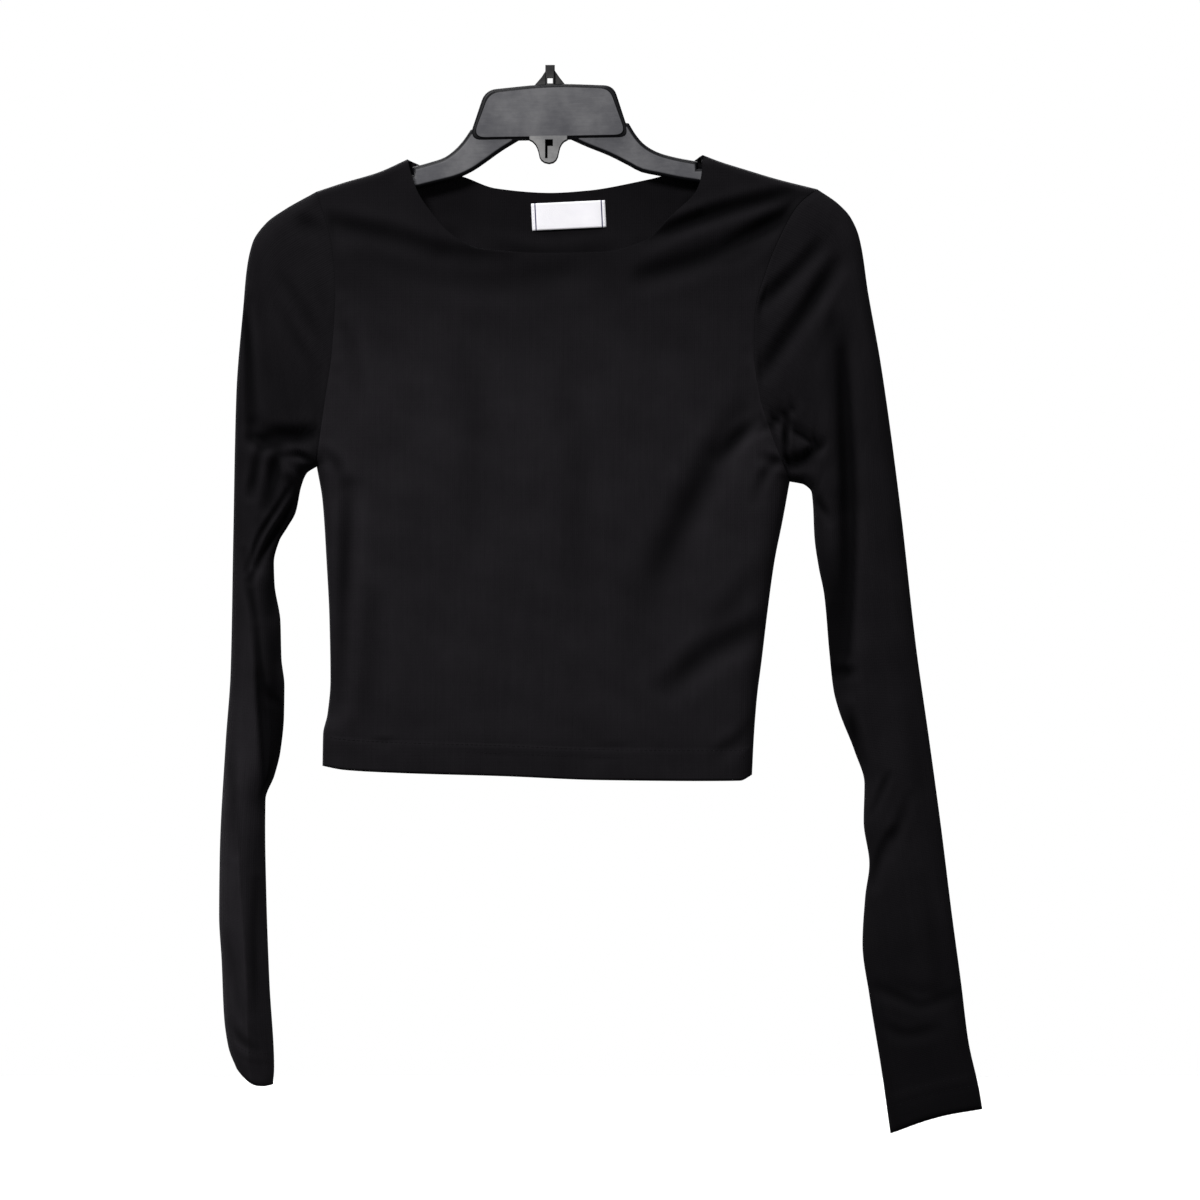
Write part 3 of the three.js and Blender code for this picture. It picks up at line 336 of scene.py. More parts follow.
# %% Creases with raised lips
# Each row is a crease: its half width, its depth, and its track through (x, z) points.
CREASES = {
    "front": [
        (4.2, 3.7, [(70, -110), (100, -98), (130, -88), (168, -79)]),
        (5.6, 3.3, [(66, -137), (112, -122), (146, -105), (176, -88)]),
        (4.2, 1.2, [(126, -114), (148, -103), (170, -91)]),
        (4.0, 0.9, [(118, -132), (140, -121), (156, -113)]),
        (5.5, 1.8, [(-160, -99), (-113, -108), (-76, -119), (-30, -125)]),
        (7.0, 1.3, [(-128, -122), (-92, -132), (-40, -140), (14, -138)]),
        (8.0, 1.8, [(141, -216), (121, -252), (98, -294), (76, -340)]),
        (12, 1.1, [(96, -300), (72, -352), (58, -398)]),
        (7.0, 1.8, [(148, -383), (122, -394), (106, -403), (84, -425)]),
        (4.2, 1.0, [(146, -446), (134, -460), (114, -474)]),
        (7.0, 0.9, [(150, -340), (128, -366), (112, -392)]),
        (4.6, 1.8, [(-141, -284), (-144, -340), (-146, -395), (-149, -440)]),
        (7.0, 0.8, [(-124, -360), (-127, -410), (-132, -452)]),
        (4.0, 2.0, [(154, -236), (138, -244), (120, -264)]),
        (3.0, 1.3, [(160, -266), (150, -276), (143, -294)]),
        (3.2, 1.9, [(150, -264), (157, -266), (164, -265), (172, -262)]),
        (2.4, 1.4, [(147, -246), (153, -241), (160, -236)]),
        (3.2, 1.0, [(-160, -258), (-150, -268), (-144, -284)]),
        (4.5, 0.6, [(-150, -160), (-138, -190), (-132, -226)]),
        (10, 0.6, [(-60, -180), (-52, -250), (-58, -330)]),
        (9.0, 0.6, [(12, -210), (20, -290), (14, -372)]),
        (2.6, 0.5, [(-125, -463), (-116, -463.5), (-108, -463)]),
        (3.0, 0.3, [(34, -466), (44, -467), (56, -466)]),
    ],
    "back": [
        (4.5, 2.6, [(-92, -84), (-118, -94), (-150, -100)]),
        (6.0, 2.0, [(-70, -104), (-110, -118), (-146, -132)]),
        (4.6, 2.8, [(98, -82), (130, -93), (164, -98)]),
        (6.0, 1.7, [(62, -112), (104, -120), (146, -126)]),
        (5.0, 1.3, [(-40, -112), (0, -118), (44, -113)]),
        (8.0, 1.9, [(-138, -212), (-112, -262), (-80, -326)]),
        (7.0, 2.0, [(142, -230), (124, -262), (104, -304), (92, -352)]),
        (5.0, 2.0, [(134, -330), (130, -392), (128, -452)]),
        (5.0, 1.6, [(-149, -378), (-126, -398), (-100, -436)]),
        (4.0, 1.2, [(-112, -148), (-124, -176), (-132, -210)]),
        (3.2, 1.3, [(156, -258), (146, -270), (138, -292)]),
        (3.2, 1.4, [(-156, -254), (-146, -268), (-138, -290)]),
        (10, 0.7, [(10, -150), (4, -240), (10, -330)]),
        (9.0, 0.6, [(-54, -230), (-50, -310), (-58, -400)]),
    ],
    "right_front": [
        (2.8, 2.6, [(-215, -148), (-211, -190), (-209, -224), (-208, -250)]),
        (3.6, 0.9, [(-188, -138), (-174, -158), (-160, -182)]),
        (3.2, 0.7, [(-190, -160), (-176, -184), (-162, -206)]),
        (5.0, 1.4, [(-178, -97), (-168, -101), (-158, -104)]),
        (4.6, 4.2, [(-207, -252), (-192, -250), (-178, -249), (-164, -246)]),
        (4.0, 2.0, [(-207, -250), (-200, -254), (-192, -258)]),
        (2.0, 3.2, [(-187, -263), (-177, -262), (-166, -267)]),
        (3.8, 3.8, [(-190, -258), (-193, -275), (-197, -298)]),
        (2.8, 3.0, [(-201, -255), (-205, -270), (-209, -290)]),
        (2.8, -1.6, [(-187, -268), (-182, -275), (-178, -282)]),
        (2.2, 3.0, [(-176, -290), (-186, -306), (-197, -324), (-209, -350)]),
        (1.8, 2.2, [(-181, -284), (-191, -300), (-202, -318), (-212, -344)]),
        (4.4, 2.8, [(-174, -294), (-186, -318), (-192, -340), (-195, -372)]),
        (2.6, 3.2, [(-209, -348), (-205, -390), (-201, -440), (-198, -500)]),
        (7.0, 2.0, [(-196, -350), (-194, -400), (-193, -450), (-200, -505)]),
        (8.0, 1.3, [(-205, -500), (-205, -570), (-204, -640), (-203, -700)]),
        (2.4, 1.2, [(-214, -330), (-212, -352), (-207, -376)]),
        (2.6, 1.2, [(-199, -426), (-194, -434), (-188, -438)]),
        (3.0, 1.1, [(-224, -470), (-221, -500), (-218, -540)]),
        (3.4, 0.9, [(-226, -600), (-221, -622), (-217, -654)]),
        (3.0, 1.0, [(-205, -560), (-207, -600), (-206, -650)]),
        (2.6, 1.0, [(-222, -660), (-215, -672), (-206, -678)]),
        (7.5, 2.6, [(-202, -422), (-195, -446), (-192, -470), (-197, -502)]),
    ],
    "right_back": [
        (4.0, 2.2, [(-206, -242), (-188, -250), (-168, -252)]),
        (3.0, 2.4, [(-186, -262), (-196, -286), (-204, -318)]),
        (3.0, 1.8, [(-178, -290), (-190, -312), (-196, -344)]),
        (4.0, 1.4, [(-208, -150), (-204, -196), (-200, -232)]),
        (3.4, 0.9, [(-190, -120), (-178, -146), (-168, -178)]),
        (4.0, 1.4, [(-212, -380), (-208, -440), (-212, -500)]),
        (3.4, 1.0, [(-222, -560), (-218, -610), (-214, -650)]),
        (3.0, 1.0, [(-204, -470), (-199, -486), (-197, -502)]),
    ],
    "left_front": [
        (3.8, 2.6, [(149, -156), (160, -144), (173, -132), (188, -116)]),
        (4.4, 3.0, [(149, -203), (162, -184), (176, -165), (200, -129)]),
        (4.0, 0.8, [(186, -196), (196, -172), (204, -146)]),
        (6.0, 3.2, [(202, -170), (206, -236), (209, -300), (208, -370), (204, -422)]),
        (3.2, 2.2, [(205, -190), (208, -262), (210, -330), (207, -400)]),
        (8.0, 1.3, [(200, -296), (203, -350), (203, -400), (204, -420)]),
        (8.0, 1.5, [(192, -296), (195, -340), (197, -380), (199, -416)]),
        (3.2, 2.0, [(209, -442), (213, -458), (217, -476)]),
        (2.4, 3.0, [(151, -243), (160, -235), (172, -228)]),
        (2.0, 3.6, [(166, -239), (176, -248), (191, -255)]),
        (1.9, 3.2, [(166, -239), (165, -251), (166, -264)]),
        (3.8, 4.2, [(152, -265), (164, -268), (174, -266), (186, -259)]),
        (2.2, 1.8, [(178, -264), (185, -258), (192, -256)]),
        (2.4, 2.0, [(184, -286), (189, -296), (196, -308)]),
        (5.0, -1.0, [(192, -290), (197, -318), (199, -350)]),
        (2.2, 1.2, [(237, -486), (231, -500), (225, -513)]),
        (2.6, 1.4, [(241, -524), (231, -542), (224, -564)]),
        (3.0, 1.0, [(252, -500), (244, -522), (238, -540)]),
        (3.0, 1.0, [(229, -636), (246, -643), (259, -648), (288, -638)]),
        (3.4, 1.0, [(234, -662), (250, -668), (270, -664)]),
        (6.0, 0.9, [(246, -400), (256, -460), (262, -520)]),
        (5.0, 0.7, [(262, -560), (270, -610), (276, -650)]),
        (3.2, 2.2, [(195, -411), (202, -415), (211, -414)]),
        (5.0, 1.8, [(198, -372), (200, -392), (202, -412)]),
    ],
    "left_back": [
        (4.6, 1.8, [(158, -150), (174, -136), (192, -118)]),
        (4.6, 1.6, [(156, -196), (176, -174), (196, -144)]),
        (4.6, 2.4, [(206, -180), (210, -260), (212, -340), (210, -400)]),
        (3.0, 2.2, [(162, -246), (174, -252), (190, -262)]),
        (3.0, 1.8, [(160, -266), (172, -270), (184, -272)]),
        (3.6, 1.5, [(238, -500), (230, -524), (224, -552)]),
        (3.4, 1.4, [(232, -630), (252, -640), (276, -634)]),
        (5.0, 1.0, [(244, -420), (254, -480), (262, -540)]),
    ],
}
LIP = {"height": 0.22, "away": 1.9, "spread": 0.8}
LOWER_SIDE_WIDER = 1.3
TAPER = {"from": 0.08, "to": 0.92, "power": 0.8}
WAVER = {"share": 0.2, "along": 7.3, "next_row": 1.7}
LEAST_AWAY = 0.01
TRACK_STEPS = 14


def crease_depth(rows, x, z):
    """How deep creases press the cloth in: a trough that tapers and wavers, with raised lips."""
    pressed = np.zeros_like(x)
    shares = np.linspace(0, 1, TRACK_STEPS + 1)
    for number, (width, depth, points) in enumerate(rows):
        stops = list(zip(*track(points, shares)))
        nearest = np.full(x.shape, np.inf)
        above = np.zeros_like(x)
        reached = np.zeros_like(x)
        for k in range(TRACK_STEPS):
            share, off_x, off_z = from_line(x, z, stops[k], stops[k + 1])
            away = np.hypot(off_x, off_z)
            closer = away < nearest
            nearest = np.where(closer, away, nearest)
            above = np.where(closer, off_z / np.maximum(away, LEAST_AWAY), above)
            reached = np.where(closer, (k + share) / TRACK_STEPS, reached)
        away = nearest / width / mix(LOWER_SIDE_WIDER, 1, (above + 1) / 2)
        taper = np.sin(math.pi * mix(TAPER["from"], TAPER["to"], reached)) ** TAPER["power"]
        beat = np.sin(WAVER["along"] * reached + WAVER["next_row"] * number)
        lips = LIP["height"] * np.exp(-((away - LIP["away"]) ** 2) / LIP["spread"])
        trough = np.exp(-away * away) - lips
        pressed += depth * taper * (1 + WAVER["share"] * beat) * trough
    return pressed


def ripple(x, z, seed, waves=7, longest=120, shortest=34):
    """Soft uneven waves from -1 to 1 or so, as cloth that has been put on and hung never lies flat."""
    chance = np.random.default_rng(seed)
    total = np.zeros_like(x)
    for _ in range(waves):
        turn, phase = chance.uniform(0, math.tau, 2)
        length = chance.uniform(shortest, longest)
        total += np.sin(math.tau * (x * math.cos(turn) + z * math.sin(turn)) / length + phase)
    return total / math.sqrt(waves)


print("creases", {face: len(rows) for face, rows in CREASES.items()})

# %% [markdown]
# The hem of the body is turned up 22 mm and held by two rows of stitches, which pull a
# shallow line into the cloth. The same goes for the cuffs, which are turned up 20 mm. Where a
# sleeve is sewn in, the seam sinks a little and the cloth beside it puckers.

# %% Hems and seams
HEM_DEPTH = 22
CUFF_DEPTH = 20
HEM_STEP = {"height": 0.5, "width": 1.2}
STITCH_ROWS = (0.5, 6)
STITCH_PULL = {"depth": 0.22, "width": 0.9}
EDGE_ROLL = {"depth": 1.1, "width": 1.4}
SEAM_DIP = 0.16
SEAM_WIDTH = 0.9
PUCKER = 0.12
PUCKER_WIDTH = 5
SEAM_FADE = 5
SOFTNESS = 0.35
SOFT_SEED = {"front": 3, "back": 4, "right": 5, "left": 6}
BODY_SEAM_SEED = {"front": 11, "back": 12}
SLEEVE_SEAM_SEED = {"front": 13, "back": 14}
LEAST_DEPTH = 0.05


def hem_relief(up, deep):
    """Height of the turned hem over the single cloth, up from its free edge."""
    past = up - deep
    half_step = HEM_STEP["width"] / 2
    step = HEM_STEP["height"] * (1 - ease((past + half_step) / HEM_STEP["width"]))
    pulled = sum(
        STITCH_PULL["depth"] * np.exp(-(((past + row) / STITCH_PULL["width"]) ** 2))
        for row in STITCH_ROWS
    )
    roll = EDGE_ROLL["depth"] * (1 - rise(up, EDGE_ROLL["width"]))
    return step - pulled - roll


def seam_relief(away, along, seed):
    """The sunk line of a seam and the uneven puckers beside it."""
    dip = SEAM_DIP * np.exp(-((away / SEAM_WIDTH) ** 2))
    beat = ripple(along, 0 * along, seed, waves=5, longest=16, shortest=6)
    pucker = PUCKER * beat * np.exp(-(((away - PUCKER_WIDTH) / PUCKER_WIDTH) ** 2))
    return pucker * (1 - np.exp(-away)) - dip


def body_surface(face, x, z, from_seam, along_seam):
    """Depth of the front or back of the body with folds, hem and seams, and of its creases."""
    rounded = body_round(x, z)
    fade = ease(from_seam / SEAM_FADE)
    creased = crease_depth(CREASES[face], x, z)
    pressed = fold_depth(FOLDS[face], x, z) + creased
    soft = SOFTNESS * ripple(x, z, SOFT_SEED[face])
    hem = hem_relief(z - hem_curve(x), HEM_DEPTH)
    seam = seam_relief(from_seam, along_seam, BODY_SEAM_SEED[face])
    depth = flat_depth(face, x, z) + (soft - pressed) * fade + seam + hem
    return np.maximum(depth * rounded, LEAST_DEPTH), creased


# %% [markdown]
# Light and shade are painted into the black jersey. The middle of the body and the right cuff
# are painted lighter, as painted light, and the shoulders, the sleeves, the left cuff and the
# inside of the neck are painted darker, as painted shade. A crease is painted darker too, as
# painted shade in its hollow, and its raised lips a little lighter, as painted highlight. The
# turned edge of the neck is painted darker as well. So every point of the cloth gets a number
# for its painted light and shade, from 0 for deep black to 1.

# %% Painted light and shade
# Painted light and shade by place: lighter in the middle of the body and at the right cuff, darker at
# the shoulders, the left cuff and the inside of the neck.
PAINTED_LIGHT_AND_SHADE = {
    "front": {
        "from": (-76, -125, -160, -225, -452, -472, -520),
        "share": (0.25, 0.25, 0.39, 0.57, 0.59, 0.50, 0.50),
    },
    "back": {"from": (-60, -104, -180, -520), "share": (0.22, 0.25, 0.47, 0.56)},
    "right": {"from": (0, 0.3, 0.46, 0.62, 0.8, 1), "share": (0.27, 0.27, 0.34, 0.56, 0.92, 1.0)},
    "left": {"from": (0, 0.3, 0.5, 0.7, 0.86, 1), "share": (0.31, 0.33, 0.38, 0.42, 0.29, 0.19)},
}
# Painted shade on the turned edge of the neck.
NECK_EDGE_SHADE = 0.3
CREASE_SHADE_DEPTH = 2.7
CREASE_SHADE_LIMITS = (-0.2, 0.92)


def paint_light_and_shade(piece, place, creased):
    """Painted light and shade of the cloth, by its place down the piece, with painted shade in its
    creases.
    """
    table = PAINTED_LIGHT_AND_SHADE[piece]
    # Painted shade: a crease is darker the deeper it is, and a raised lip is a little lighter, as
    # painted highlight.
    closed = np.clip(creased / CREASE_SHADE_DEPTH, *CREASE_SHADE_LIMITS)
    return curve(table["from"], table["share"])(place) * (1 - closed)


# %% [markdown]
# Each body panel is one piece of jersey. It starts as a flat grid, like cloth on a cutting
# table, and every point of the grid is carried to its place on the hanging top. The columns
# run from the right armhole over the neck to the left one, and the rows from the shoulder to
# the hem, closer together where a seam or a hem needs them. Solidify then gives the single
# sheet the thickness of jersey, inwards, so that its outer face stays on the form.

# %% A grid of cloth
CLOTH = 1.0
WELD = 0.00001


def cloth_grid(across, down, place, weld=False):
    """A sheet of across by down faces.

    place(u, v) gives (x, y, z), the (u, v) on the flat cloth and its painted light and shade.
    """
    bm = bmesh.new()
    bmesh.ops.create_grid(bm, x_segments=across, y_segments=down, size=0.5)
    start = np.array([vert.co[:] for vert in bm.verts])
    u = np.round((start[:, 0] + 0.5) * across) / across
    v = np.round((0.5 - start[:, 1]) * down) / down
    (x, y, z), (flat_u, flat_v), painted_shading = place(u, v)
    layer = bm.loops.layers.uv.new("cloth")
    bm.verts.index_update()
    for face in bm.faces:
        for loop in face.loops:
            i = loop.vert.index
            loop[layer].uv = (flat_u[i] * MM, flat_v[i] * MM)
    # The painted light and shade is kept as a number on every point.
    share = bm.verts.layers.float.new("painted_shading")
    for vert, point, amount in zip(bm.verts, np.column_stack([x, y, z]) * MM, painted_shading):
        vert.co = point
        vert[share] = amount
    if weld:
        bmesh.ops.remove_doubles(bm, verts=bm.verts, dist=WELD)
    return bm


def meshed(name, bm, *materials):
    """A new object from a bmesh, with its materials."""
    mesh = bpy.data.meshes.new(name)
    bm.to_mesh(mesh)
    bm.free()
    for material in materials:
        mesh.materials.append(material)
    return added(name, mesh)


def shown(name, bm, *materials):
    """A smooth piece of the top or its hanger, riding on the frame's one body."""
    piece = meshed(name, bm, *materials)
    for polygon in piece.data.polygons:
        polygon.use_smooth = True
    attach(piece, "root")
    return piece


def face_outwards(bm, outwards):
    """Turns an open sheet over if its faces don't look the way that outwards(face) points."""
    votes = sum(face.normal.dot(outwards(face)) * face.calc_area() for face in bm.faces)
    if votes < 0:
        bmesh.ops.reverse_faces(bm, faces=bm.faces)


def thicken(piece, thickness):
    """Gives a sheet its thickness, inwards from its outer face."""
    solidify = piece.modifiers.new("thickness", "SOLIDIFY")
    solidify.thickness = thickness * MM
    solidify.offset = -1
    solidify.use_even_offset = False


def sewn(name, bm, outwards, material, thickness):
    """A piece of cloth that looks outwards, with its thickness, and its area in square metres."""
    bm.normal_update()
    face_outwards(bm, outwards)
    area = sum(polygon.calc_area() for polygon in bm.faces)
    piece = shown(name, bm, material)
    thicken(piece, thickness)
    print(name, "faces", len(piece.data.polygons), "cloth", round(area, 4), "m2")
    return piece, area


# %% [markdown]
# Shader maths reads best as sums. A Term wraps one socket, and a sum on Terms adds the Math
# nodes behind it. A Finish is a material being made: node() adds any other node.

# %% Shader terms and finishes


class Term:
    """A number in a shader, on which plain sums add Math nodes."""

    def __init__(self, finish, socket):
        self.finish = finish
        self.socket = socket

    def math(self, operation, first, second=0.0):
        """A Math node on one or two numbers."""
        return self.finish.node("ShaderNodeMath", {"operation": operation}, {0: first, 1: second})

    def __add__(self, other):
        return self.math("ADD", self, other)

    def __sub__(self, other):
        return self.math("SUBTRACT", self, other)

    def __mul__(self, other):
        return self.math("MULTIPLY", self, other)

    def __rsub__(self, other):
        return self.math("SUBTRACT", other, self)

    __radd__ = __add__
    __rmul__ = __mul__

    def sine(self):
        return self.math("SINE", self)

    def size(self):
        return self.math("ABSOLUTE", self)

    def between(self, low, high):
        """0 where the term is under low, 1 where it is over high, with a soft step between."""
        settings = {"interpolation_type": "SMOOTHSTEP"}
        inputs = {"Value": self, "From Min": low, "From Max": high}
        return self.finish.node("ShaderNodeMapRange", settings, inputs)


class Finish:
    """A material being made, whose surface is one Principled shader."""

    def __init__(self, name, **sockets):
        self.material = bpy.data.materials.new(name)
        self.material.use_nodes = True
        self.tree = self.material.node_tree
        self.shader = self.tree.nodes["Principled BSDF"]
        for socket, value in sockets.items():
            self.set(socket.replace("_", " "), value)

    def set(self, socket, value):
        """Sets a socket of the shader to a value or links a Term to it."""
        self.fill(self.shader.inputs[socket], value)

    def fill(self, socket, value):
        """Sets any socket to a value, or links a Term to it."""
        if isinstance(value, Term):
            self.tree.links.new(value.socket, socket)
        else:
            socket.default_value = value

    def node(self, kind, settings, inputs, output=0):
        """Adds a node with its settings and inputs, and gives a Term for one of its outputs."""
        node = self.tree.nodes.new(kind)
        for name, value in settings.items():
            setattr(node, name, value)
        for name, value in inputs.items():
            self.fill(node.inputs[name], value)
        return Term(self, node.outputs[output])

    def cloth_map(self):
        """The place on the flat cloth, in metres."""
        return self.node("ShaderNodeUVMap", {"uv_map": "cloth"}, {})

    def object_map(self):
        """The place in the object, in metres."""
        return self.node("ShaderNodeTexCoord", {}, {}, "Object")

    def scaled(self, vector, scale):
        """A place with each of its axes scaled."""
        return self.node("ShaderNodeMapping", {}, {"Vector": vector, "Scale": scale})

    def noise(self, vector, scale, detail=2.0, roughness=0.5):
        inputs = {"Vector": vector, "Scale": scale, "Detail": detail, "Roughness": roughness}
        return self.node("ShaderNodeTexNoise", {}, inputs)

    def part(self, vector, axis):
        """One axis of a vector."""
        return self.node("ShaderNodeSeparateXYZ", {}, {"Vector": vector}, axis)

    def colours(self, share, first, second):
        """A colour that goes from the first to the second with the share."""
        inputs = {0: share, 6: first, 7: second}
        return self.node("ShaderNodeMix", {"data_type": "RGBA"}, inputs, 2)

    def bump(self, height, distance):
        """Relief whose height of 1 stands for the distance, in metres."""
        inputs = {"Height": height, "Distance": distance, "Strength": 1.0}
        self.set("Normal", self.node("ShaderNodeBump", {}, inputs))


# %% [markdown]
# The jersey is a near-black knit with a matt, slightly hazy face. Its wales, the columns of
# loops, run down the cloth and show as fine uneven lines 2 mm apart. Washing has left faint
# clouds of charcoal in the black. The sheen is the light that the fibre ends catch where the
# cloth turns away, so it is one number on the shader for the whole surface.

# %% Jersey
DEEP_BLACK = (0.0008, 0.0007, 0.0010, 1)
BLACK = (0.0108, 0.0097, 0.0115, 1)
CHARCOAL = (0.0176, 0.0161, 0.0186, 1)
SHEEN_TINT = (0.72, 0.70, 0.80, 1)
KNIT = {"wales": (480, 20, 1), "clouds": 26, "fuzz": 1500, "columns": 4200, "courses": 6300}
KNIT_RELIEF = 0.00022


def make_jersey():
    """Matt knit clouded with charcoal, taken down to deep black by painted shade and kept lighter by
    painted light.
    """
    finish = Finish("black_jersey", Specular_IOR_Level=0.04, Sheen_Weight=0.02, Sheen_Roughness=0.4)
    finish.set("Sheen Tint", SHEEN_TINT)
    place = finish.cloth_map()
    wales = finish.noise(finish.scaled(place, KNIT["wales"]), 1, detail=3, roughness=0.55)
    clouds = finish.noise(place, KNIT["clouds"], detail=4, roughness=0.62)
    courses = (finish.part(place, "Y") * KNIT["courses"]).sine()
    columns = (finish.part(place, "X") * KNIT["columns"]).sine()
    fuzz = finish.noise(place, KNIT["fuzz"], detail=2, roughness=0.7)
    painted_shading = finish.node("ShaderNodeAttribute", {"attribute_name": "painted_shading"}, {}, "Fac")
    share = wales * 0.5 + clouds + fuzz * 0.3 - 0.45
    cloth = finish.colours(share.between(0.0, 0.95), BLACK, CHARCOAL)
    # Painted light and shade: the number takes the cloth's colour down to deep black as painted shade.
    finish.set("Base Color", finish.colours(painted_shading, DEEP_BLACK, cloth))
    finish.set("Roughness", wales * 0.12 + 0.80)
    finish.bump(wales + fuzz * 0.5 + columns * 0.16 + courses * 0.08, KNIT_RELIEF)
    return finish.material


jersey = make_jersey()
print("jersey nodes", len(jersey.node_tree.nodes))

# %% The front and back of the body
ACROSS = {"shoulder": 26, "neck": 88}
COLUMNS = 2 * ACROSS["shoulder"] + ACROSS["neck"]
DOWN = {"armhole": 84, "side": 92}
ROWS = DOWN["armhole"] + DOWN["side"]
ARMHOLE_SHARE = DOWN["armhole"] / ROWS
SIDE_SHARES = {
    "at": (0, 0.5, 0.84, 0.88, 0.92, 0.97, 1),
    "share": (0, 0.53, 0.875, 0.892, 0.915, 0.985, 1),
}
NECK_CROWDING = 0.11
SHOULDER_CROWDING = 1.35
FADE_BELOW_UNDERARM = 3
side_share = curve(SIDE_SHARES["at"], SIDE_SHARES["share"])


def top_edge(face, u):
    """Top of a panel and the spread of its columns at the foot, from the right to the left."""
    end = ACROSS["shoulder"] / COLUMNS
    even = np.clip((u - end) / (1 - 2 * end), 0, 1)
    neck_x, neck_z = track(NECKLINE[face], even - NECK_CROWDING * np.sin(math.tau * even))
    foot_x = mix(HEM_UNDER_NECK["right"], HEM_UNDER_NECK["left"], even)
    x, z = neck_x, neck_z
    for side, from_end in (("right", u), ("left", 1 - u)):
        share = np.clip(from_end / end, 0, 1) ** SHOULDER_CROWDING
        over = from_end < end
        row = SHOULDER[side]
        shoulder_x = mix(row["x"][0], row["x"][-1], share)
        x = np.where(over, shoulder_x, x)
        z = np.where(over, shoulder_curve[side](shoulder_x), z)
        corner = HEM["x"][0] if side == "right" else HEM["x"][-1]
        foot_x = np.where(over, mix(corner, HEM_UNDER_NECK[side], share), foot_x)
    return x, z, foot_x


def side_edge(side, face, v):
    """Side of a panel: its half of the armhole, then the side seam.

    The rows of the armhole are crowded a little at both of its ends, where it rounds over.
    """
    at = np.clip(v / ARMHOLE_SHARE, 0, 1)
    share = 0.5 * at + 0.25 * (1 - np.cos(math.pi * at))
    hole_x, hole_z, hole_y = armhole_seam(side, face, share)
    down = side_share(np.clip((v - ARMHOLE_SHARE) / (1 - ARMHOLE_SHARE), 0, 1))
    seam_z = mix(underarm[side][1], SIDE_SEAM[side]["z"][-1], down)
    below = v > ARMHOLE_SHARE
    x = np.where(below, side_curve[side](seam_z), hole_x)
    return x, np.where(below, seam_z, hole_z), np.where(below, 0, hole_y)


def panel_form(face):
    """The place of every point of a body panel: a patch stretched between its four edges.

    Columns under the neck run straight down to the hem. Those under a shoulder follow the
    curve of the armhole and the side seam beside them.
    """

    def place(u, v):
        zero, one = np.zeros(1), np.ones(1)
        top_x, top_z, foot_x = top_edge(face, u)
        foot_z = hem_curve(foot_x)
        right_x, right_z, right_y = side_edge("right", face, v)
        left_x, left_z, left_y = side_edge("left", face, v)
        ends = {
            (side, end): [float(n[0]) for n in side_edge(side, face, at)[:2]]
            for side in ("right", "left")
            for end, at in (("top", zero), ("foot", one))
        }
        width = HEM["x"][-1] - HEM["x"][0]
        across = (foot_x - HEM["x"][0]) / width
        neck_start = (HEM_UNDER_NECK["right"] - HEM["x"][0]) / width
        neck_end = (HEM_UNDER_NECK["left"] - HEM["x"][0]) / width
        near_right = np.clip(1 - across / neck_start, 0, 1)
        near_left = np.clip((across - neck_end) / (1 - neck_end), 0, 1)
        falls = [
            (ends[side, "top"][1] - z) / (ends[side, "top"][1] - ends[side, "foot"][1])
            for side, z in (("right", right_z), ("left", left_z))
        ]
        down = (falls[0] + falls[1]) / 2
        flat = []
        for axis, right, left, top, foot in (
            (0, right_x, left_x, top_x, foot_x),
            (1, right_z, left_z, top_z, foot_z),
        ):
            right_bulge = right - mix(ends["right", "top"][axis], ends["right", "foot"][axis], down)
            left_bulge = left - mix(ends["left", "top"][axis], ends["left", "foot"][axis], down)
            flat.append(mix(top, foot, down) + right_bulge * near_right + left_bulge * near_left)
        x, z = flat
        gap = np.minimum(np.abs(x - right_x), np.abs(left_x - x))
        in_armhole = v <= ARMHOLE_SHARE
        below = np.maximum(np.maximum(underarm["right"][1] - z, underarm["left"][1] - z), 0)
        from_seam = np.where(in_armhole, gap, np.hypot(gap, below * FADE_BELOW_UNDERARM))
        y, creased = body_surface(face, x, z, from_seam, z)
        for edge, depth in ((0, right_y), (1, left_y)):
            sunk = np.maximum(depth - SEAM_DIP * (depth > 1), LEAST_DEPTH)
            y = np.where((u == edge) & in_armhole, sunk, y)
            y = np.where((u == edge) & ~in_armhole, LEAST_DEPTH, y)
        over_shoulder = (x <= SHOULDER["right"]["x"][-1]) | (x >= SHOULDER["left"]["x"][-1])
        y = np.where((v == 0) & over_shoulder, LEAST_DEPTH, y)
        # The top edge of the panel, mostly the turned edge of the neck, is painted darker as painted
        # shade.
        edge = np.where(v == 0, NECK_EDGE_SHADE, 1)
        return (x, FACING[face] * y, z), (x, z), paint_light_and_shade(face, z, creased) * edge

    return place


def make_panel(face):
    """The front or the back of the body."""
    bm = cloth_grid(COLUMNS, ROWS, panel_form(face))
    out = Vector((0, FACING[face], 0))
    piece, area = sewn(f"{face}_cloth", bm, lambda _: out, jersey, CLOTH)
    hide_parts(f"{face}_panel")
    return piece, area


front_cloth, front_area = make_panel("front")
back_cloth, back_area = make_panel("back")

# %% [markdown]
# A sleeve is one piece of jersey, folded and sewn into a tube along the underarm. Its rings
# start on the armhole seam, fan out round the underarm and then lie level down to the cuff.
# The hanging right sleeve turns edge-on as it falls, so it has ridges down its front, and
# the left one hangs flat. The tables give the two edges, the fan and the form of a section.

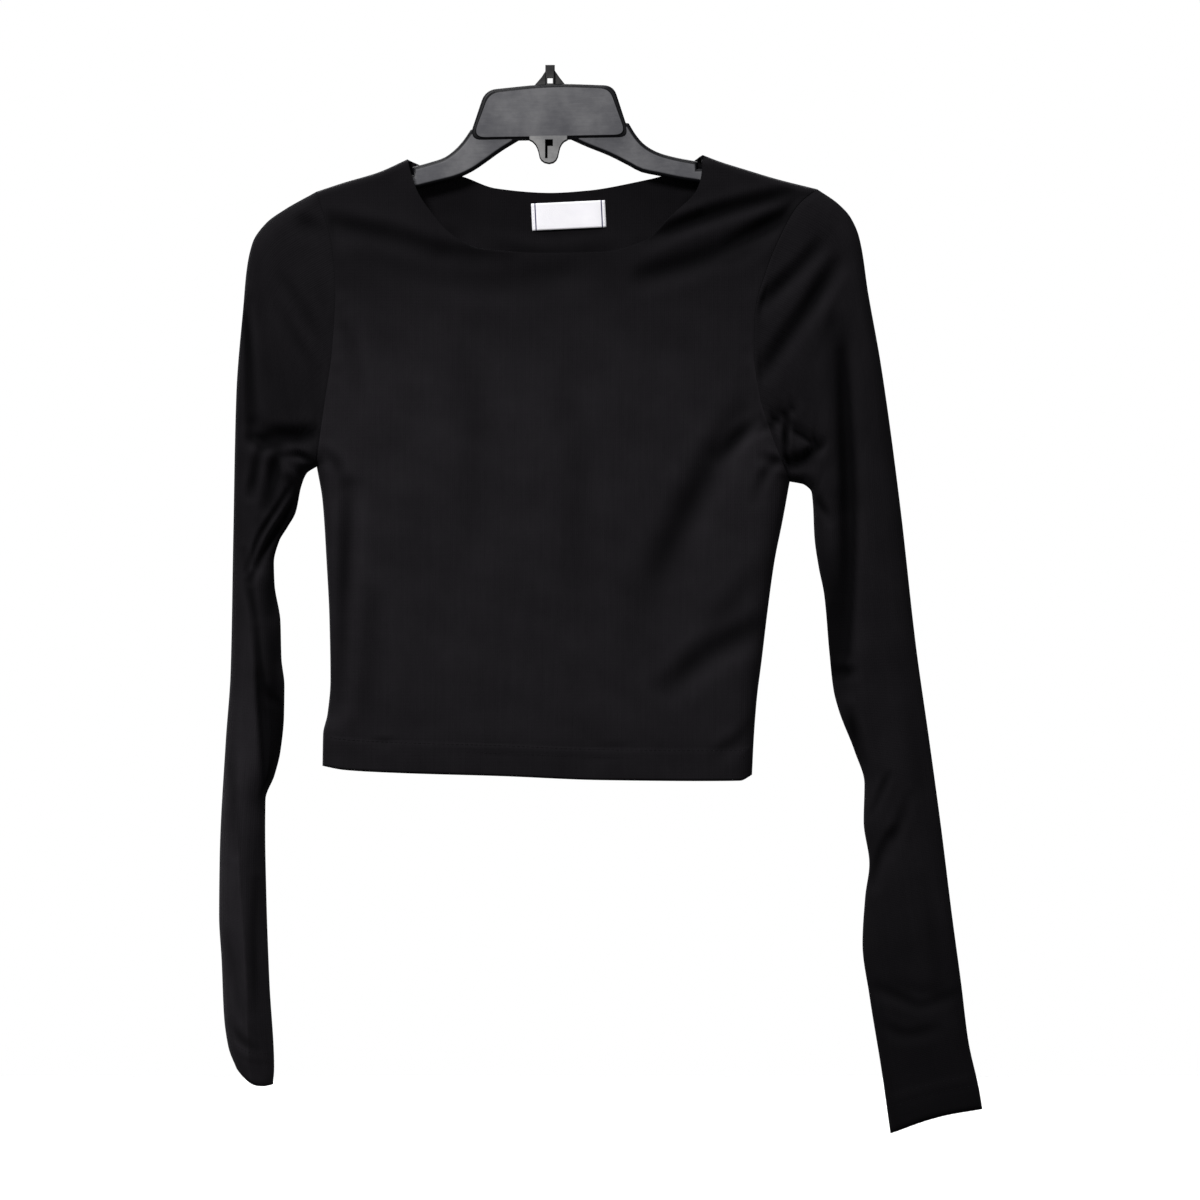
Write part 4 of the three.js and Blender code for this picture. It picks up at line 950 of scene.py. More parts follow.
# %% The form of the sleeves
SLEEVE_EDGE = {
    "right": {
        "outer": {
            "z": (-77.7, -90.3, -99.4, -113.4, -133, -156, -220, -322, -414, -464, -546, -585,
                  -617, -656, -678, -692),
            "x": (-163.8, -186.2, -198.8, -208.6, -212.8, -214.9, -220, -222.2, -224, -227.5,
                  -231.7, -232.1, -230.3, -228.6, -225.4, -220),
        },
        "inner": {
            "z": (-270.5, -275, -284, -303, -313, -323, -338, -352, -379, -405, -424, -445,
                  -470, -487, -504, -525, -570, -632, -692, -703.4),
            "x": (-163.6, -170.4, -174.3, -178.5, -184.1, -190, -193.6, -193.2, -189, -188.3,
                  -186.2, -186.5, -189, -193.2, -199.5, -199.7, -198.9, -196.7, -193.4, -194.2),
        },
    },
    "left": {
        "outer": {
            "z": (-76, -85.8, -95.6, -109.9, -149, -199, -298, -398, -463, -525, -587, -633,
                  -673, -708, -720.7),
            "x": (187.4, 201.6, 210.6, 216.8, 223.1, 232, 245.5, 256.8, 266, 274.4, 282.1,
                  288.3, 293.3, 301, 303.1),
        },
        "inner": {
            "z": (-281, -283, -289, -322, -341, -360, -401, -427, -441, -470, -493, -519,
                  -549, -572, -605, -641, -694, -737.8),
            "x": (168, 177.8, 183.4, 185.5, 188.3, 192.1, 195.8, 198.7, 202.3, 213.5, 220.4,
                  219.8, 223.8, 220.9, 219, 223.8, 232.4, 238.6),
        },
    },
}
SLEEVE_FAN = {
    "at": (0, 0.1, 0.2, 0.34, 0.45, 0.72, 1),
    "right": {
        "outer": (-77.7, -96, -140, -240, -318, -496, -692),
        "inner": (-270.5, -272, -276, -292, -324, -498, -703.4),
    },
    "left": {
        "outer": (-76, -92, -134, -236, -318, -504, -720.7),
        "inner": (-281, -281.6, -283.5, -296, -330, -512, -737.8),
    },
}
SLEEVE_FORM = {
    "right": {
        "at": (0, 0.12, 0.4, 0.52, 0.62, 0.72, 0.8, 0.9, 1),
        "half": (11, 11, 10, 9, 9, 8, 8, 8, 7),
        "round": (4, 12, 10, 8, 8, 7, 8, 8, 8),
        "ridge": (0.5, 0.5, 0.45, 0.5, 0.66, 0.9, 0.95, 0.95, 0.95),
        "lift": (0, 1, 3, 8, 11, 7, 0, 0, 0),
        "edge_ridge": (0.2, 0.2, 0.2, 0.2, 0.2, 0.3, 0.45, 0.54, 0.44),
        "edge_lift": (0, 0, 0, 0, 1, 9, 16, 17, 14),
    },
    "left": {
        "at": (0, 0.12, 0.4, 0.6, 0.8, 1),
        "half": (11, 11, 10, 8.5, 8, 9),
        "round": (4, 13, 13, 13, 13, 14),
        "ridge": (0.5, 0.5, 0.7, 0.7, 0.6, 0.6),
        "lift": (0, 1, 3, 4, 3, 2),
        "edge_ridge": (0.5, 0.5, 0.3, 0.3, 0.3, 0.4),
        "edge_lift": (0, 0, 0, 1, 1, 0),
    },
}
ARMHOLE_FADE = 0.34
RIDGE_SHARPNESS = 0.85
CUFF_BOW = {"right": 5, "left": -3}
CUFF_BOW_POWER = 8
SLEEVE_LENGTH = 640
SLEEVE_NODES = {
    "right": ["sleeve_right_front", "sleeve_right_back"],
    "left": [
        f"sleeve_left_{length}_{face}"
        for length in ("upper", "middle", "lower")
        for face in ("front", "back")
    ],
}
AROUND = 96
ALONG = 380
FIRST_RINGS = 1.15


def tent(share, ridge):
    """1 at a ridge and 0 at both edges of a section."""
    up = np.where(share < ridge, share / ridge, (1 - share) / (1 - ridge))
    return np.clip(up, 0, 1) ** RIDGE_SHARPNESS


def half_sleeve(side, face, at, share):
    """Place of the front or back of a sleeve, the width of its section and its painted light and shade.
    """
    edge = {name: curve(row["z"], row["x"]) for name, row in SLEEVE_EDGE[side].items()}
    fan = {name: curve(SLEEVE_FAN["at"], column) for name, column in SLEEVE_FAN[side].items()}
    form = {
        name: curve(SLEEVE_FORM[side]["at"], column)(at)
        for name, column in SLEEVE_FORM[side].items()
        if name != "at"
    }
    start_z, end_z = fan["outer"](at), fan["inner"](at)
    start_x, end_x = edge["outer"](start_z), edge["inner"](end_z)
    seam_x, seam_z, seam_y = armhole_seam(side, face, share)
    top_x, top_z = ARMHOLE[side]["x"][0], ARMHOLE[side]["z"][0]
    foot_x, foot_z = underarm[side]
    hold = np.clip(1 - at / ARMHOLE_FADE, 0, 1) ** 2
    bow = CUFF_BOW[side] * at**CUFF_BOW_POWER * np.sin(math.pi * share)
    x = mix(start_x, end_x, share) + hold * (seam_x - mix(top_x, foot_x, share))
    z = mix(start_z, end_z, share) + hold * (seam_z - mix(top_z, foot_z, share)) - bow
    width = np.hypot(end_x - start_x, end_z - start_z)
    flat = mix(form["half"], flat_depth(face, seam_x, seam_z), hold)
    corner = mix(np.minimum(form["round"], SIDE_ROUND), SIDE_ROUND, hold)
    rounded = rise(share * width, form["round"]) * rise((1 - share) * width, corner)
    tents = form["lift"] * tent(share, form["ridge"])
    tents = tents + form["edge_lift"] * tent(share, form["edge_ridge"])
    from_seam = np.hypot(x - seam_x, z - seam_z)
    fade = ease(from_seam / SEAM_FADE)
    creased = crease_depth(CREASES[f"{side}_{face}"], x, z)
    pressed = fold_depth(FOLDS[side], x, z) + creased
    soft = SOFTNESS * ripple(x, z, SOFT_SEED[side], longest=90, shortest=26)
    relief = seam_relief(from_seam, z, SLEEVE_SEAM_SEED[face])
    relief = relief + hem_relief((1 - at) * SLEEVE_LENGTH, CUFF_DEPTH) + (soft - pressed) * fade
    y = np.maximum(flat * rounded + tents + relief * rounded, 0)
    at_seam = np.maximum(seam_y - SEAM_DIP * (seam_y > 1), 0)
    y = FACING[face] * np.where(at == 0, at_seam, y)
    return x, y, z, width, paint_light_and_shade(side, at, creased)


def sleeve_form(side):
    """The place of every point of a sleeve: down its front and up its back, ring by ring."""

    def place(u, v):
        at = v**FIRST_RINGS
        in_front = u <= 0.5
        share = (1 - np.cos(math.tau * u)) / 2
        front, back = (half_sleeve(side, face, at, share) for face in ("front", "back"))
        x, y, z, width, painted_shading = (np.where(in_front, a, b) for a, b in zip(front, back))
        on_cloth = np.where(in_front, share, 2 - share) * width
        return (x, y, z), (on_cloth, -at * SLEEVE_LENGTH), painted_shading

    return place


def make_sleeve(side):
    """One sleeve, with its underarm seam closed."""
    bm = cloth_grid(AROUND, ALONG, sleeve_form(side), weld=True)
    piece, area = sewn(
        f"{side}_sleeve_cloth",
        bm,
        lambda polygon: Vector((0, polygon.calc_center_median().y, 0)),
        jersey,
        CLOTH,
    )
    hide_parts(*SLEEVE_NODES[side])
    return piece, area


right_sleeve, right_area = make_sleeve("right")
left_sleeve, left_area = make_sleeve("left")

# %% [markdown]
# The hem and the cuffs are held by two rows of black thread each. A stitch is a tiny bead
# pulled long, and hundreds of them lie end to end along the rows, joined in one mesh.

# %% Thread
STITCH = {"length": 2.6, "pitch": 3.3, "width": 0.34, "height": 0.3}
LOOK_AHEAD = 0.5
HEM_ROW = {"from_right": 5, "from_left": 4, "points": 160}
CUFF_ROW = {"from": 0.004, "to": 0.996, "points": 240}
FAR = 99.0
THREAD_TWIST = 9000


def make_thread():
    """Black thread with a fine twist."""
    finish = Finish("black_thread", Roughness=0.8, Specular_IOR_Level=0.08)
    twist = (finish.part(finish.object_map(), "X") * THREAD_TWIST).sine()
    finish.set("Base Color", finish.colours(twist.between(-1, 1), DEEP_BLACK, BLACK))
    return finish.material


def sew(bm, points, size, outwards):
    """Lays a row of stitches along points in mm, each turned along the row."""
    steps = np.linalg.norm(np.diff(points, axis=0), axis=1)
    along = np.concatenate([[0], np.cumsum(steps)])
    count = max(int(along[-1] / size["pitch"]), 1)
    stops = (np.arange(count) + 0.5) * size["pitch"]
    middles = np.column_stack([np.interp(stops, along, points[:, n]) for n in range(3)])
    ahead = stops + LOOK_AHEAD
    ends = np.column_stack([np.interp(ahead, along, points[:, n]) for n in range(3)])
    scale = Matrix.Diagonal((size["length"] / 2, size["width"] / 2, size["height"] / 2, 1))
    for middle, end in zip(middles, ends):
        forward = Vector(end - middle).normalized()
        out = Vector(outwards(middle)).normalized()
        across = out.cross(forward).normalized()
        turn = Matrix((forward, across, forward.cross(across))).transposed().to_4x4()
        place = Matrix.Translation(Vector(middle) * MM)
        matrix = place @ turn @ Matrix.Scale(MM, 4) @ scale
        bmesh.ops.create_icosphere(bm, subdivisions=1, radius=1, matrix=matrix)
    return count


thread = make_thread()


def hem_rows():
    """The rows of stitches round the hem of the body, front and back."""
    first, last = HEM["x"][0] + HEM_ROW["from_right"], HEM["x"][-1] - HEM_ROW["from_left"]
    x = np.linspace(first, last, HEM_ROW["points"])
    for face, way in FACING.items():
        for row in STITCH_ROWS:
            z = hem_curve(x) + HEM_DEPTH - row
            surface, _ = body_surface(face, x, z, np.full_like(x, FAR), z)
            yield np.column_stack([x, way * (surface + STITCH["height"] / 3), z]), way


def cuff_rows(side):
    """The rows of stitches round a cuff."""
    for row in STITCH_ROWS:
        u = np.linspace(CUFF_ROW["from"], CUFF_ROW["to"], CUFF_ROW["points"])
        at = 1 - (CUFF_DEPTH - row) / SLEEVE_LENGTH
        place, *_ = sleeve_form(side)(u, np.full_like(u, at ** (1 / FIRST_RINGS)))
        yield np.column_stack(place)


def make_stitches():
    """All the black stitches of the top."""
    bm = bmesh.new()
    count = 0
    for points, way in hem_rows():
        count += sew(bm, points, STITCH, lambda _, way=way: (0, way, 0))
    for side in ("right", "left"):
        for points in cuff_rows(side):
            middle = points.mean(axis=0)
            count += sew(bm, points, STITCH, lambda place, middle=middle: place - middle)
    piece = shown("hem_stitches", bm, thread)
    print("stitches", count, "faces", len(piece.data.polygons))
    return piece


hem_stitches = make_stitches()

# %% [markdown]
# A white woven label is sewn inside the back of the neck. Seen through the neck opening it
# is the one bright spot of the top. It is satin tape with a dark line woven near each end
# and no words, and the ends are pressed closer to the cloth by two short rows of stitches.

# %% Neck label
LABEL = {"x": 13, "z": -94, "width": 52, "height": 19, "tilt": 2.8, "thickness": 0.45, "clear": 1.6}
LABEL_STRIPE = {"from_end": 2.7, "half": 0.48}
LINE_EDGE = (0.6, 1.3)
LABEL_WEAVE = {"clouds": 120, "floats": 9000, "picks": 12000}
WEAVE_RELIEF = 0.00004
WHITE_TWIST = 4000
LABEL_GRID = {"across": 40, "down": 16}
LABEL_BULGE = {"height": 0.7, "from_end": 6, "wave": 0.12}
LABEL_STITCH = {"length": 1.7, "pitch": 2.3, "width": 0.3, "height": 0.26}
LABEL_ROW = {"ends": (0.022, 0.978), "from": 0.04, "to": 0.96, "points": 30, "proud": 0.05}
WHITE = (0.80, 0.79, 0.81, 1)
SHADED_WHITE = (0.70, 0.69, 0.73, 1)
NIGHT_BLUE = (0.035, 0.030, 0.085, 1)


def make_label_tape():
    """White satin with a thin dark line near each end."""
    finish = Finish("label_satin", Specular_IOR_Level=0.4, Sheen_Weight=0.1, Sheen_Roughness=0.3)
    place = finish.cloth_map()
    across, down = finish.part(place, "X"), finish.part(place, "Y")
    clouds = finish.noise(place, LABEL_WEAVE["clouds"], detail=3)
    floats = ((across + down) * LABEL_WEAVE["floats"]).sine()
    picks = (down * LABEL_WEAVE["picks"]).sine()
    satin = finish.colours(clouds * 0.8 + floats * 0.12, SHADED_WHITE, WHITE)
    inset = LABEL["width"] / 2 - LABEL_STRIPE["from_end"]
    off_line = (across.size() - inset * MM).size()
    line = 1 - off_line.between(*(LABEL_STRIPE["half"] * MM * share for share in LINE_EDGE))
    finish.set("Base Color", finish.colours(line, satin, NIGHT_BLUE))
    finish.set("Roughness", clouds * 0.15 + 0.42)
    finish.bump(floats * 0.4 + picks * 0.4, WEAVE_RELIEF)
    return finish.material


def label_form(u, v):
    """The label on the inside of the back panel, its ends pressed closer to the cloth."""
    across = (u - 0.5) * LABEL["width"]
    down = (0.5 - v) * LABEL["height"]
    turn = math.radians(LABEL["tilt"])
    x = LABEL["x"] + across * math.cos(turn) - down * math.sin(turn)
    z = LABEL["z"] + across * math.sin(turn) + down * math.cos(turn)
    wall, _ = body_surface("back", x, z, np.full_like(x, FAR), z)
    to_end = LABEL["width"] / 2 - np.abs(across)
    bulge = LABEL_BULGE["height"] * ease(to_end / LABEL_BULGE["from_end"])
    bulge = bulge + LABEL_BULGE["wave"] * np.sin(across / 4 + down / 7)
    return (x, wall - LABEL["clear"] - bulge, z), (across, down), np.ones_like(x)


def make_label():
    """The label, its outer face to the front."""
    bm = cloth_grid(LABEL_GRID["across"], LABEL_GRID["down"], label_form)
    out = Vector((0, -1, 0))
    piece, _ = sewn("label_tape", bm, lambda _: out, make_label_tape(), LABEL["thickness"])
    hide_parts("neck_label")
    return piece


def make_label_stitches():
    """Two short rows of white thread that hold the ends of the label."""
    finish = Finish("white_thread", Roughness=0.5)
    twist = finish.noise(finish.object_map(), WHITE_TWIST)
    finish.set("Base Color", finish.colours(twist, SHADED_WHITE, WHITE))
    bm = bmesh.new()
    v = np.linspace(LABEL_ROW["from"], LABEL_ROW["to"], LABEL_ROW["points"])
    for u in LABEL_ROW["ends"]:
        (x, y, z), *_ = label_form(np.full_like(v, u), v)
        points = np.column_stack([x, y - LABEL_ROW["proud"], z])
        sew(bm, points, LABEL_STITCH, lambda _: (0, -1, 0))
    piece = shown("label_stitches", bm, finish.material)
    return piece


label_tape = make_label()
label_stitches = make_label_stitches()

# %% [markdown]
# The hanger is one moulding of black plastic: two arms, a broad plate between them whose
# face stands proud of a rim, a peak with a small window above, and a slotted prong below that
# is level with the plate's face. Each part starts as a flat outline, is extruded, and has its
# rims rounded over by a few insets, as a mould tool would leave them. A Boolean union then
# makes them one solid.

# %% Outlines of the hanger
ARM_FORM = {"thickness": 7.2, "rounding": 3.4}
ARM_BELOW_CLOTH = 4
ARM_HEIGHT = 17
ARM_ROOT = (0, -20)
ARM_POINTS = {"top": 18, "bottom": 20, "under": 7}
UNDER_CLOTH_SHARE = 0.9
NOTCH = {"depth": 5, "width": 6}
TIP = {"radius": 7.5, "from": 0.62, "turn": 1.1, "steps": 8}
ARM_NECK = {
    "right": {
        "top": [(-55.7, -34.3), (-60.4, -41.3), (-66.7, -48.3), (-74.5, -53.9), (-84, -57.1),
                (-96.5, -60.6)],
        "bottom": [(-96.5, -76.4), (-80.8, -72.5), (-65.1, -68.4), (-54.2, -63.4),
                   (-44.8, -57.1), (-33.9, -49.3), (-22, -42)],
        "tip": (-190.5, -109),
    },
    "left": {
        "top": [(55.2, -29.8), (59.9, -37.6), (66.2, -44.7), (75.5, -50.1), (88, -53.7),
                (103.6, -56.6)],
        "bottom": [(103.6, -71.6), (91, -69.7), (75.5, -66.5), (64.4, -64.2), (53.6, -58.7),
                   (41.2, -52.5), (25.5, -46.2), (14, -41)],
        "tip": (196, -97),
    },
}
PLATE = {
    "corner": [(-45.5, -6.6), (0, -1.8), (44.5, -3.4), (56.6, -40.5), (-57.5, -42.5)],
    "round": [8, 60, 7, 9, 10],
}
PLATE_MIDDLE = (0, -22)
CORNER_POINTS = 9
CORNER_REACH = 0.45
PLATE_RIM = {"thickness": 8.6, "rounding": 2.3}
PLATE_INSET = 1.9
PLATE_FACE = {"thickness": 10.4, "rounding": 0.9}
PEAK = [(-12, -4.5), (-6, 2.5), (-3.2, 6.8), (-2.6, 11), (2.4, 11), (3.5, 6.8), (7, 1.8), (12, -4.5)]
PEAK_FORM = {"thickness": 3.2, "rounding": 0.4}
POST = {"left": -3.3, "right": 3.3, "foot": -5, "top": 11}
POST_FORM = {"thickness": 6.8, "rounding": 1}
WINDOW = {"left": -1.9, "right": 1.9, "foot": -2, "top": 2}
PRONG = [
    (-14.9, -38), (-14.9, -41.6), (-12.4, -42.9), (-10.4, -44.9), (-9.1, -47.3), (-8.2, -50),
    (-7.4, -53.8), (-6.2, -56), (-3.9, -57.6), (-0.6, -58.3), (2.4, -57.6), (4.4, -55.9),
    (5.6, -53.4), (6.3, -50.2), (7.1, -47), (8.4, -44.5), (10, -42.8), (12.4, -41.6), (12.4, -38),
]
PRONG_FORM = {"thickness": 10.4, "rounding": 0.8}
PRONG_SLOT = {"left": -3.5, "right": 2, "foot": -46, "top": -41.3}
PRONG_SLIT = {"left": -3.5, "right": -1.7, "foot": -54.6, "top": -45.5}


def smooth_line(points, count):
    """The same line with more points, evenly along it."""
    return list(zip(*track(points, np.linspace(0, 1, count))))


def rounded_plate(inset):
    """The plate's outline with each corner cut to an arc, moved in by an inset."""
    corners = []
    for (x, z), size in zip(PLATE["corner"], PLATE["round"]):
        away = Vector((x - PLATE_MIDDLE[0], z - PLATE_MIDDLE[1]))
        pull = inset * math.sqrt(2) * away.x / away.length
        corners.append((Vector((x - pull, z - math.copysign(inset, away.y))), size))
    outline = []
    for i, (corner, size) in enumerate(corners):
        before, after = corners[i - 1][0], corners[(i + 1) % len(corners)][0]
        start, end = (
            corner.lerp(other, min(size / (other - corner).length, CORNER_REACH))
            for other in (before, after)
        )
        for t in np.linspace(0, 1, CORNER_POINTS):
            outline.append(tuple(start.lerp(corner, t).lerp(corner.lerp(end, t), t)))
    return outline


def arm_outline(side):
    """One arm: bare beside the neck, a strap notch, then under the cloth to its rounded tip."""
    row = ARM_NECK[side]
    way = -1 if side == "right" else 1
    start_x, start_z = row["top"][-1]
    notch_end = start_x + way * NOTCH["width"]
    seam_x = SHOULDER[side]["x"][0]
    under = []
    for share in np.linspace(0, UNDER_CLOTH_SHARE, ARM_POINTS["under"]):
        x = mix(notch_end, seam_x, share)
        under.append((x, float(shoulder_line(x)) - ARM_BELOW_CLOTH))
    tip_x, tip_z = row["tip"]
    tip = []
    for k in range(TIP["steps"] + 1):
        angle = math.pi * (TIP["from"] - k * TIP["turn"] / TIP["steps"])
        across, up = TIP["radius"] * math.cos(angle), TIP["radius"] * math.sin(angle)
        tip.append((tip_x + way * across, tip_z + up))
    foot = [(x, z - ARM_HEIGHT) for x, z in reversed(under)]
    notch_floor = start_z - NOTCH["depth"]
    return [
        ARM_ROOT,
        *smooth_line(row["top"], ARM_POINTS["top"]),
        (start_x, notch_floor),
        (notch_end, notch_floor),
        *under,
        *tip,
        *foot,
        *smooth_line(row["bottom"], ARM_POINTS["bottom"]),
    ]


def box_outline(box):
    """The four corners of a box in X and Z."""
    left, right, foot, top = (box[name] for name in ("left", "right", "foot", "top"))
    return [(left, foot), (right, foot), (right, top), (left, top)]


# %% A moulded slab
ROUND_STEPS = 3
FLAT_FACE = 0.99


def slab(outline, plastic, thickness, rounding=0.0, forward=0.0):
    """A closed solid of an outline in X and Z, its rims rounded, moved forward from the plane."""
    bm = bmesh.new()
    half = (thickness / 2 - rounding) * MM
    face = bm.faces.new([bm.verts.new((x * MM, -half, z * MM)) for x, z in outline])
    bm.normal_update()
    if face.normal.y > 0:
        face.normal_flip()
    grown = bmesh.ops.extrude_face_region(bm, geom=[face], use_keep_orig=True)["geom"]
    moved = [item for item in grown if isinstance(item, bmesh.types.BMVert)]
    bmesh.ops.translate(bm, verts=moved, vec=(0, 2 * half, 0))
    bmesh.ops.recalc_face_normals(bm, faces=bm.faces)
    if rounding > 0:
        turns = np.linspace(0, math.pi / 2, ROUND_STEPS + 1)
        for way in FACING.values():
            flat = [f for f in bm.faces if f.normal.y * way > FLAT_FACE]
            for low, high in zip(turns, turns[1:]):
                inwards = rounding * (math.cos(low) - math.cos(high)) * MM
                up = rounding * (math.sin(high) - math.sin(low)) * MM
                bmesh.ops.inset_region(
                    bm, faces=flat, thickness=inwards, depth=up, use_even_offset=True, use_boundary=True
                )
    bmesh.ops.translate(bm, verts=bm.verts, vec=(0, -forward * MM, 0))
    return meshed("slab", bm, plastic)


def joined(base, steps):
    """The base with solids added to it or cut from it, as a new mesh."""
    for operation, solid in steps:
        boolean = base.modifiers.new("join", "BOOLEAN")
        boolean.operation = operation
        boolean.solver = "EXACT"
        boolean.material_mode = "TRANSFER"
        boolean.object = solid
    bpy.context.view_layer.update()
    evaluated = base.evaluated_get(bpy.context.evaluated_depsgraph_get())
    whole = bpy.data.meshes.new_from_object(evaluated)
    for solid in [base] + [solid for _, solid in steps]:
        bpy.data.objects.remove(solid)
    return whole


# %% [markdown]
# The hanger is black plastic. Its flat faces, those that look to the front or the back, are
# painted grey as a painted reflection of the studio light, darker and lighter in smears. The
# prong's reflection is painted the lightest and the peak's the darkest, lighter in places. The
# rim of the plate and the hollow of the prong's slot are painted near-black as painted shade, and
# so is every rounded edge: the painted reflection follows the way that a face looks, so it gives
# way to painted shade over the roundings.

# %% Hanger plastic and the whole hanger
# Painted shade for every face that doesn't look to the front or the back.
EDGE_SHADE = (0.003, 0.003, 0.004, 1)
# Painted reflections of the light on the flat faces, from dark to light in smears; the last one,
# near-black, is painted shade.
PLASTICS = {
    "sheen_and_smears": {"dark": (0.058, 0.058, 0.064, 1), "light": (0.118, 0.117, 0.122, 1)},
    "bright_sheen_and_smears": {"dark": (0.110, 0.109, 0.112, 1), "light": (0.230, 0.228, 0.226, 1)},
    "dim_sheen_and_smears": {"dark": (0.007, 0.007, 0.008, 1), "light": (0.055, 0.054, 0.053, 1)},
    "shade_black": {"dark": (0.003, 0.003, 0.004, 1), "light": (0.007, 0.007, 0.008, 1)},
}
FACING_LIMITS = (0.93, 0.9995)
SURFACE = {"smears": 30, "scuffs": (90, 90, 900), "grain": 2400}
SURFACE_RELIEF = 0.00005
# The prong's slot and slit stop at a thin web, so that their floor and walls can carry painted shade.
SLOT_SHADE_WEB = 1.2
SHARP_EDGE = math.radians(40)


def make_plastic(name):
    """Moulded plastic whose flat faces are painted grey as a reflection, from dark to light in smears,
    and whose other faces are painted shade.
    """
    finish = Finish(f"{name}_plastic", Specular_IOR_Level=0.12)
    dark, light = PLASTICS[name]["dark"], PLASTICS[name]["light"]
    place = finish.object_map()
    smears = finish.noise(place, SURFACE["smears"], detail=4, roughness=0.62)
    scuffs = finish.noise(finish.scaled(place, SURFACE["scuffs"]), 1, detail=3, roughness=0.7)
    grain = finish.noise(place, SURFACE["grain"])
    facing = finish.node("ShaderNodeTexCoord", {}, {}, "Normal")
    # Painted reflection where a face looks to the front or the back, painted shade on the other faces.
    flat = finish.part(facing, "Y").size().between(*FACING_LIMITS)
    smeared_sheen = finish.colours((smears * 1.5 + scuffs * 0.3 - 0.4).between(0.15, 0.95), dark, light)
    finish.set("Base Color", finish.colours(flat, EDGE_SHADE, smeared_sheen))
    finish.set("Roughness", smears * 0.2 + scuffs * 0.1 + 0.3)
    finish.bump(grain * 0.6 + scuffs * 0.4, SURFACE_RELIEF)
    return finish.material


def make_hanger():
    """The whole moulding as one closed solid."""
    sheen_and_smears, bright_sheen_and_smears, dim_sheen_and_smears, shade_black = (make_plastic(name) for name in PLASTICS)
    arms = [slab(arm_outline(side), sheen_and_smears, **ARM_FORM) for side in ("right", "left")]
    # The plate's rim is painted near-black as painted shade.
    rim = slab(rounded_plate(0), shade_black, **PLATE_RIM)
    face = slab(rounded_plate(PLATE_INSET), sheen_and_smears, **PLATE_FACE)
    peak = slab(PEAK, dim_sheen_and_smears, **PEAK_FORM)
    post = slab(box_outline(POST), dim_sheen_and_smears, **POST_FORM)
    # The walls of the window are painted near-black as painted shade.
    window = slab(box_outline(WINDOW), shade_black, POST_FORM["thickness"] * 2)
    prong = slab(PRONG, bright_sheen_and_smears, **PRONG_FORM)
    # The floor and walls of the prong's slot and slit are painted near-black as painted shade.
    hollows = [
        slab(box_outline(box), shade_black, PRONG_FORM["thickness"], forward=SLOT_SHADE_WEB)
        for box in (PRONG_SLOT, PRONG_SLIT)
    ]
    cut_prong = added("slab", joined(prong, [("DIFFERENCE", hollow) for hollow in hollows]))
    solids = (arms[1], rim, face, peak, post)
    steps = [("UNION", solid) for solid in solids] + [("DIFFERENCE", window), ("UNION", cut_prong)]
    mesh = joined(arms[0], steps)
    bm = bmesh.new()
    bm.from_mesh(mesh)
    bmesh.ops.remove_doubles(bm, verts=bm.verts, dist=WELD)
    bmesh.ops.recalc_face_normals(bm, faces=bm.faces)
    open_edges = sum(not edge.is_manifold for edge in bm.edges)
    piece = shown("moulded_hanger", bm, *mesh.materials)
    piece.data.set_sharp_from_angle(angle=SHARP_EDGE)
    weighted = piece.modifiers.new("flat_faces", "WEIGHTED_NORMAL")
    weighted.keep_sharp = True
    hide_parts("hanger")
    print(piece.name, "faces", len(piece.data.polygons), "open edges", open_edges)


make_hanger()

# %% [markdown]
# The area of each cloth piece is worked out. It isn't taken from a pattern: it is measured on
# the finished form, with 3 % more as a guess at seams and hems. So it follows the form, and
# can't show that the form has too much or too little cloth. The right sleeve hangs edge-on, so
# it gets a smaller area than the left one, though a maker cuts both alike.

# %% The cut of the cloth
SEAMS_AND_HEMS = 1.03


def with_allowance(area):
    """The area measured on a piece, with a guess at its seams and hems."""
    return round(area * SEAMS_AND_HEMS, 4)


with_allowance(front_area)
with_allowance(back_area)
for sleeve, area in ((right_sleeve, right_area), (left_sleeve, left_area)):
    with_allowance(area)
print("cloth in all", round(front_area + back_area + right_area + left_area, 3), "m2")

# %% [markdown]
# The top hangs in a plain white studio: a pale floor far below it and a white surround. The
# light is soft and wide. A soft box at the upper left of the camera is the strongest and falls
# off towards the cuffs, a weak light comes from the right, one from above brushes over the
# folds, and one from behind keeps the back readable.

# %% Floor and light
FLOOR_Z = -1500
FLOOR_SIZE = 24000
FLOOR_CLOUDS = 1.5
PALE_GREY = (0.93, 0.93, 0.94, 1)
PALE = (0.95, 0.95, 0.95, 1)
WHITE_LIGHT = (1, 1, 1, 1)
SURROUND = {"light": 0.16, "seen": 1.0}
KEY = {"from": (-0.70, -1.10, 0.85), "aim": (0.0, 0.0, -0.25), "size": 0.4, "power": 34}
LIGHTS = [
    {"name": "fill", "from": (1.3, -1.3, 0.5), "strength": 0.6, "spread": 50},
    {"name": "top", "from": (-0.1, -0.3, 1.0), "strength": 2.4, "spread": 30},
    {"name": "back", "from": (-0.5, 1.5, 1.1), "strength": 3.0, "spread": 60},
]


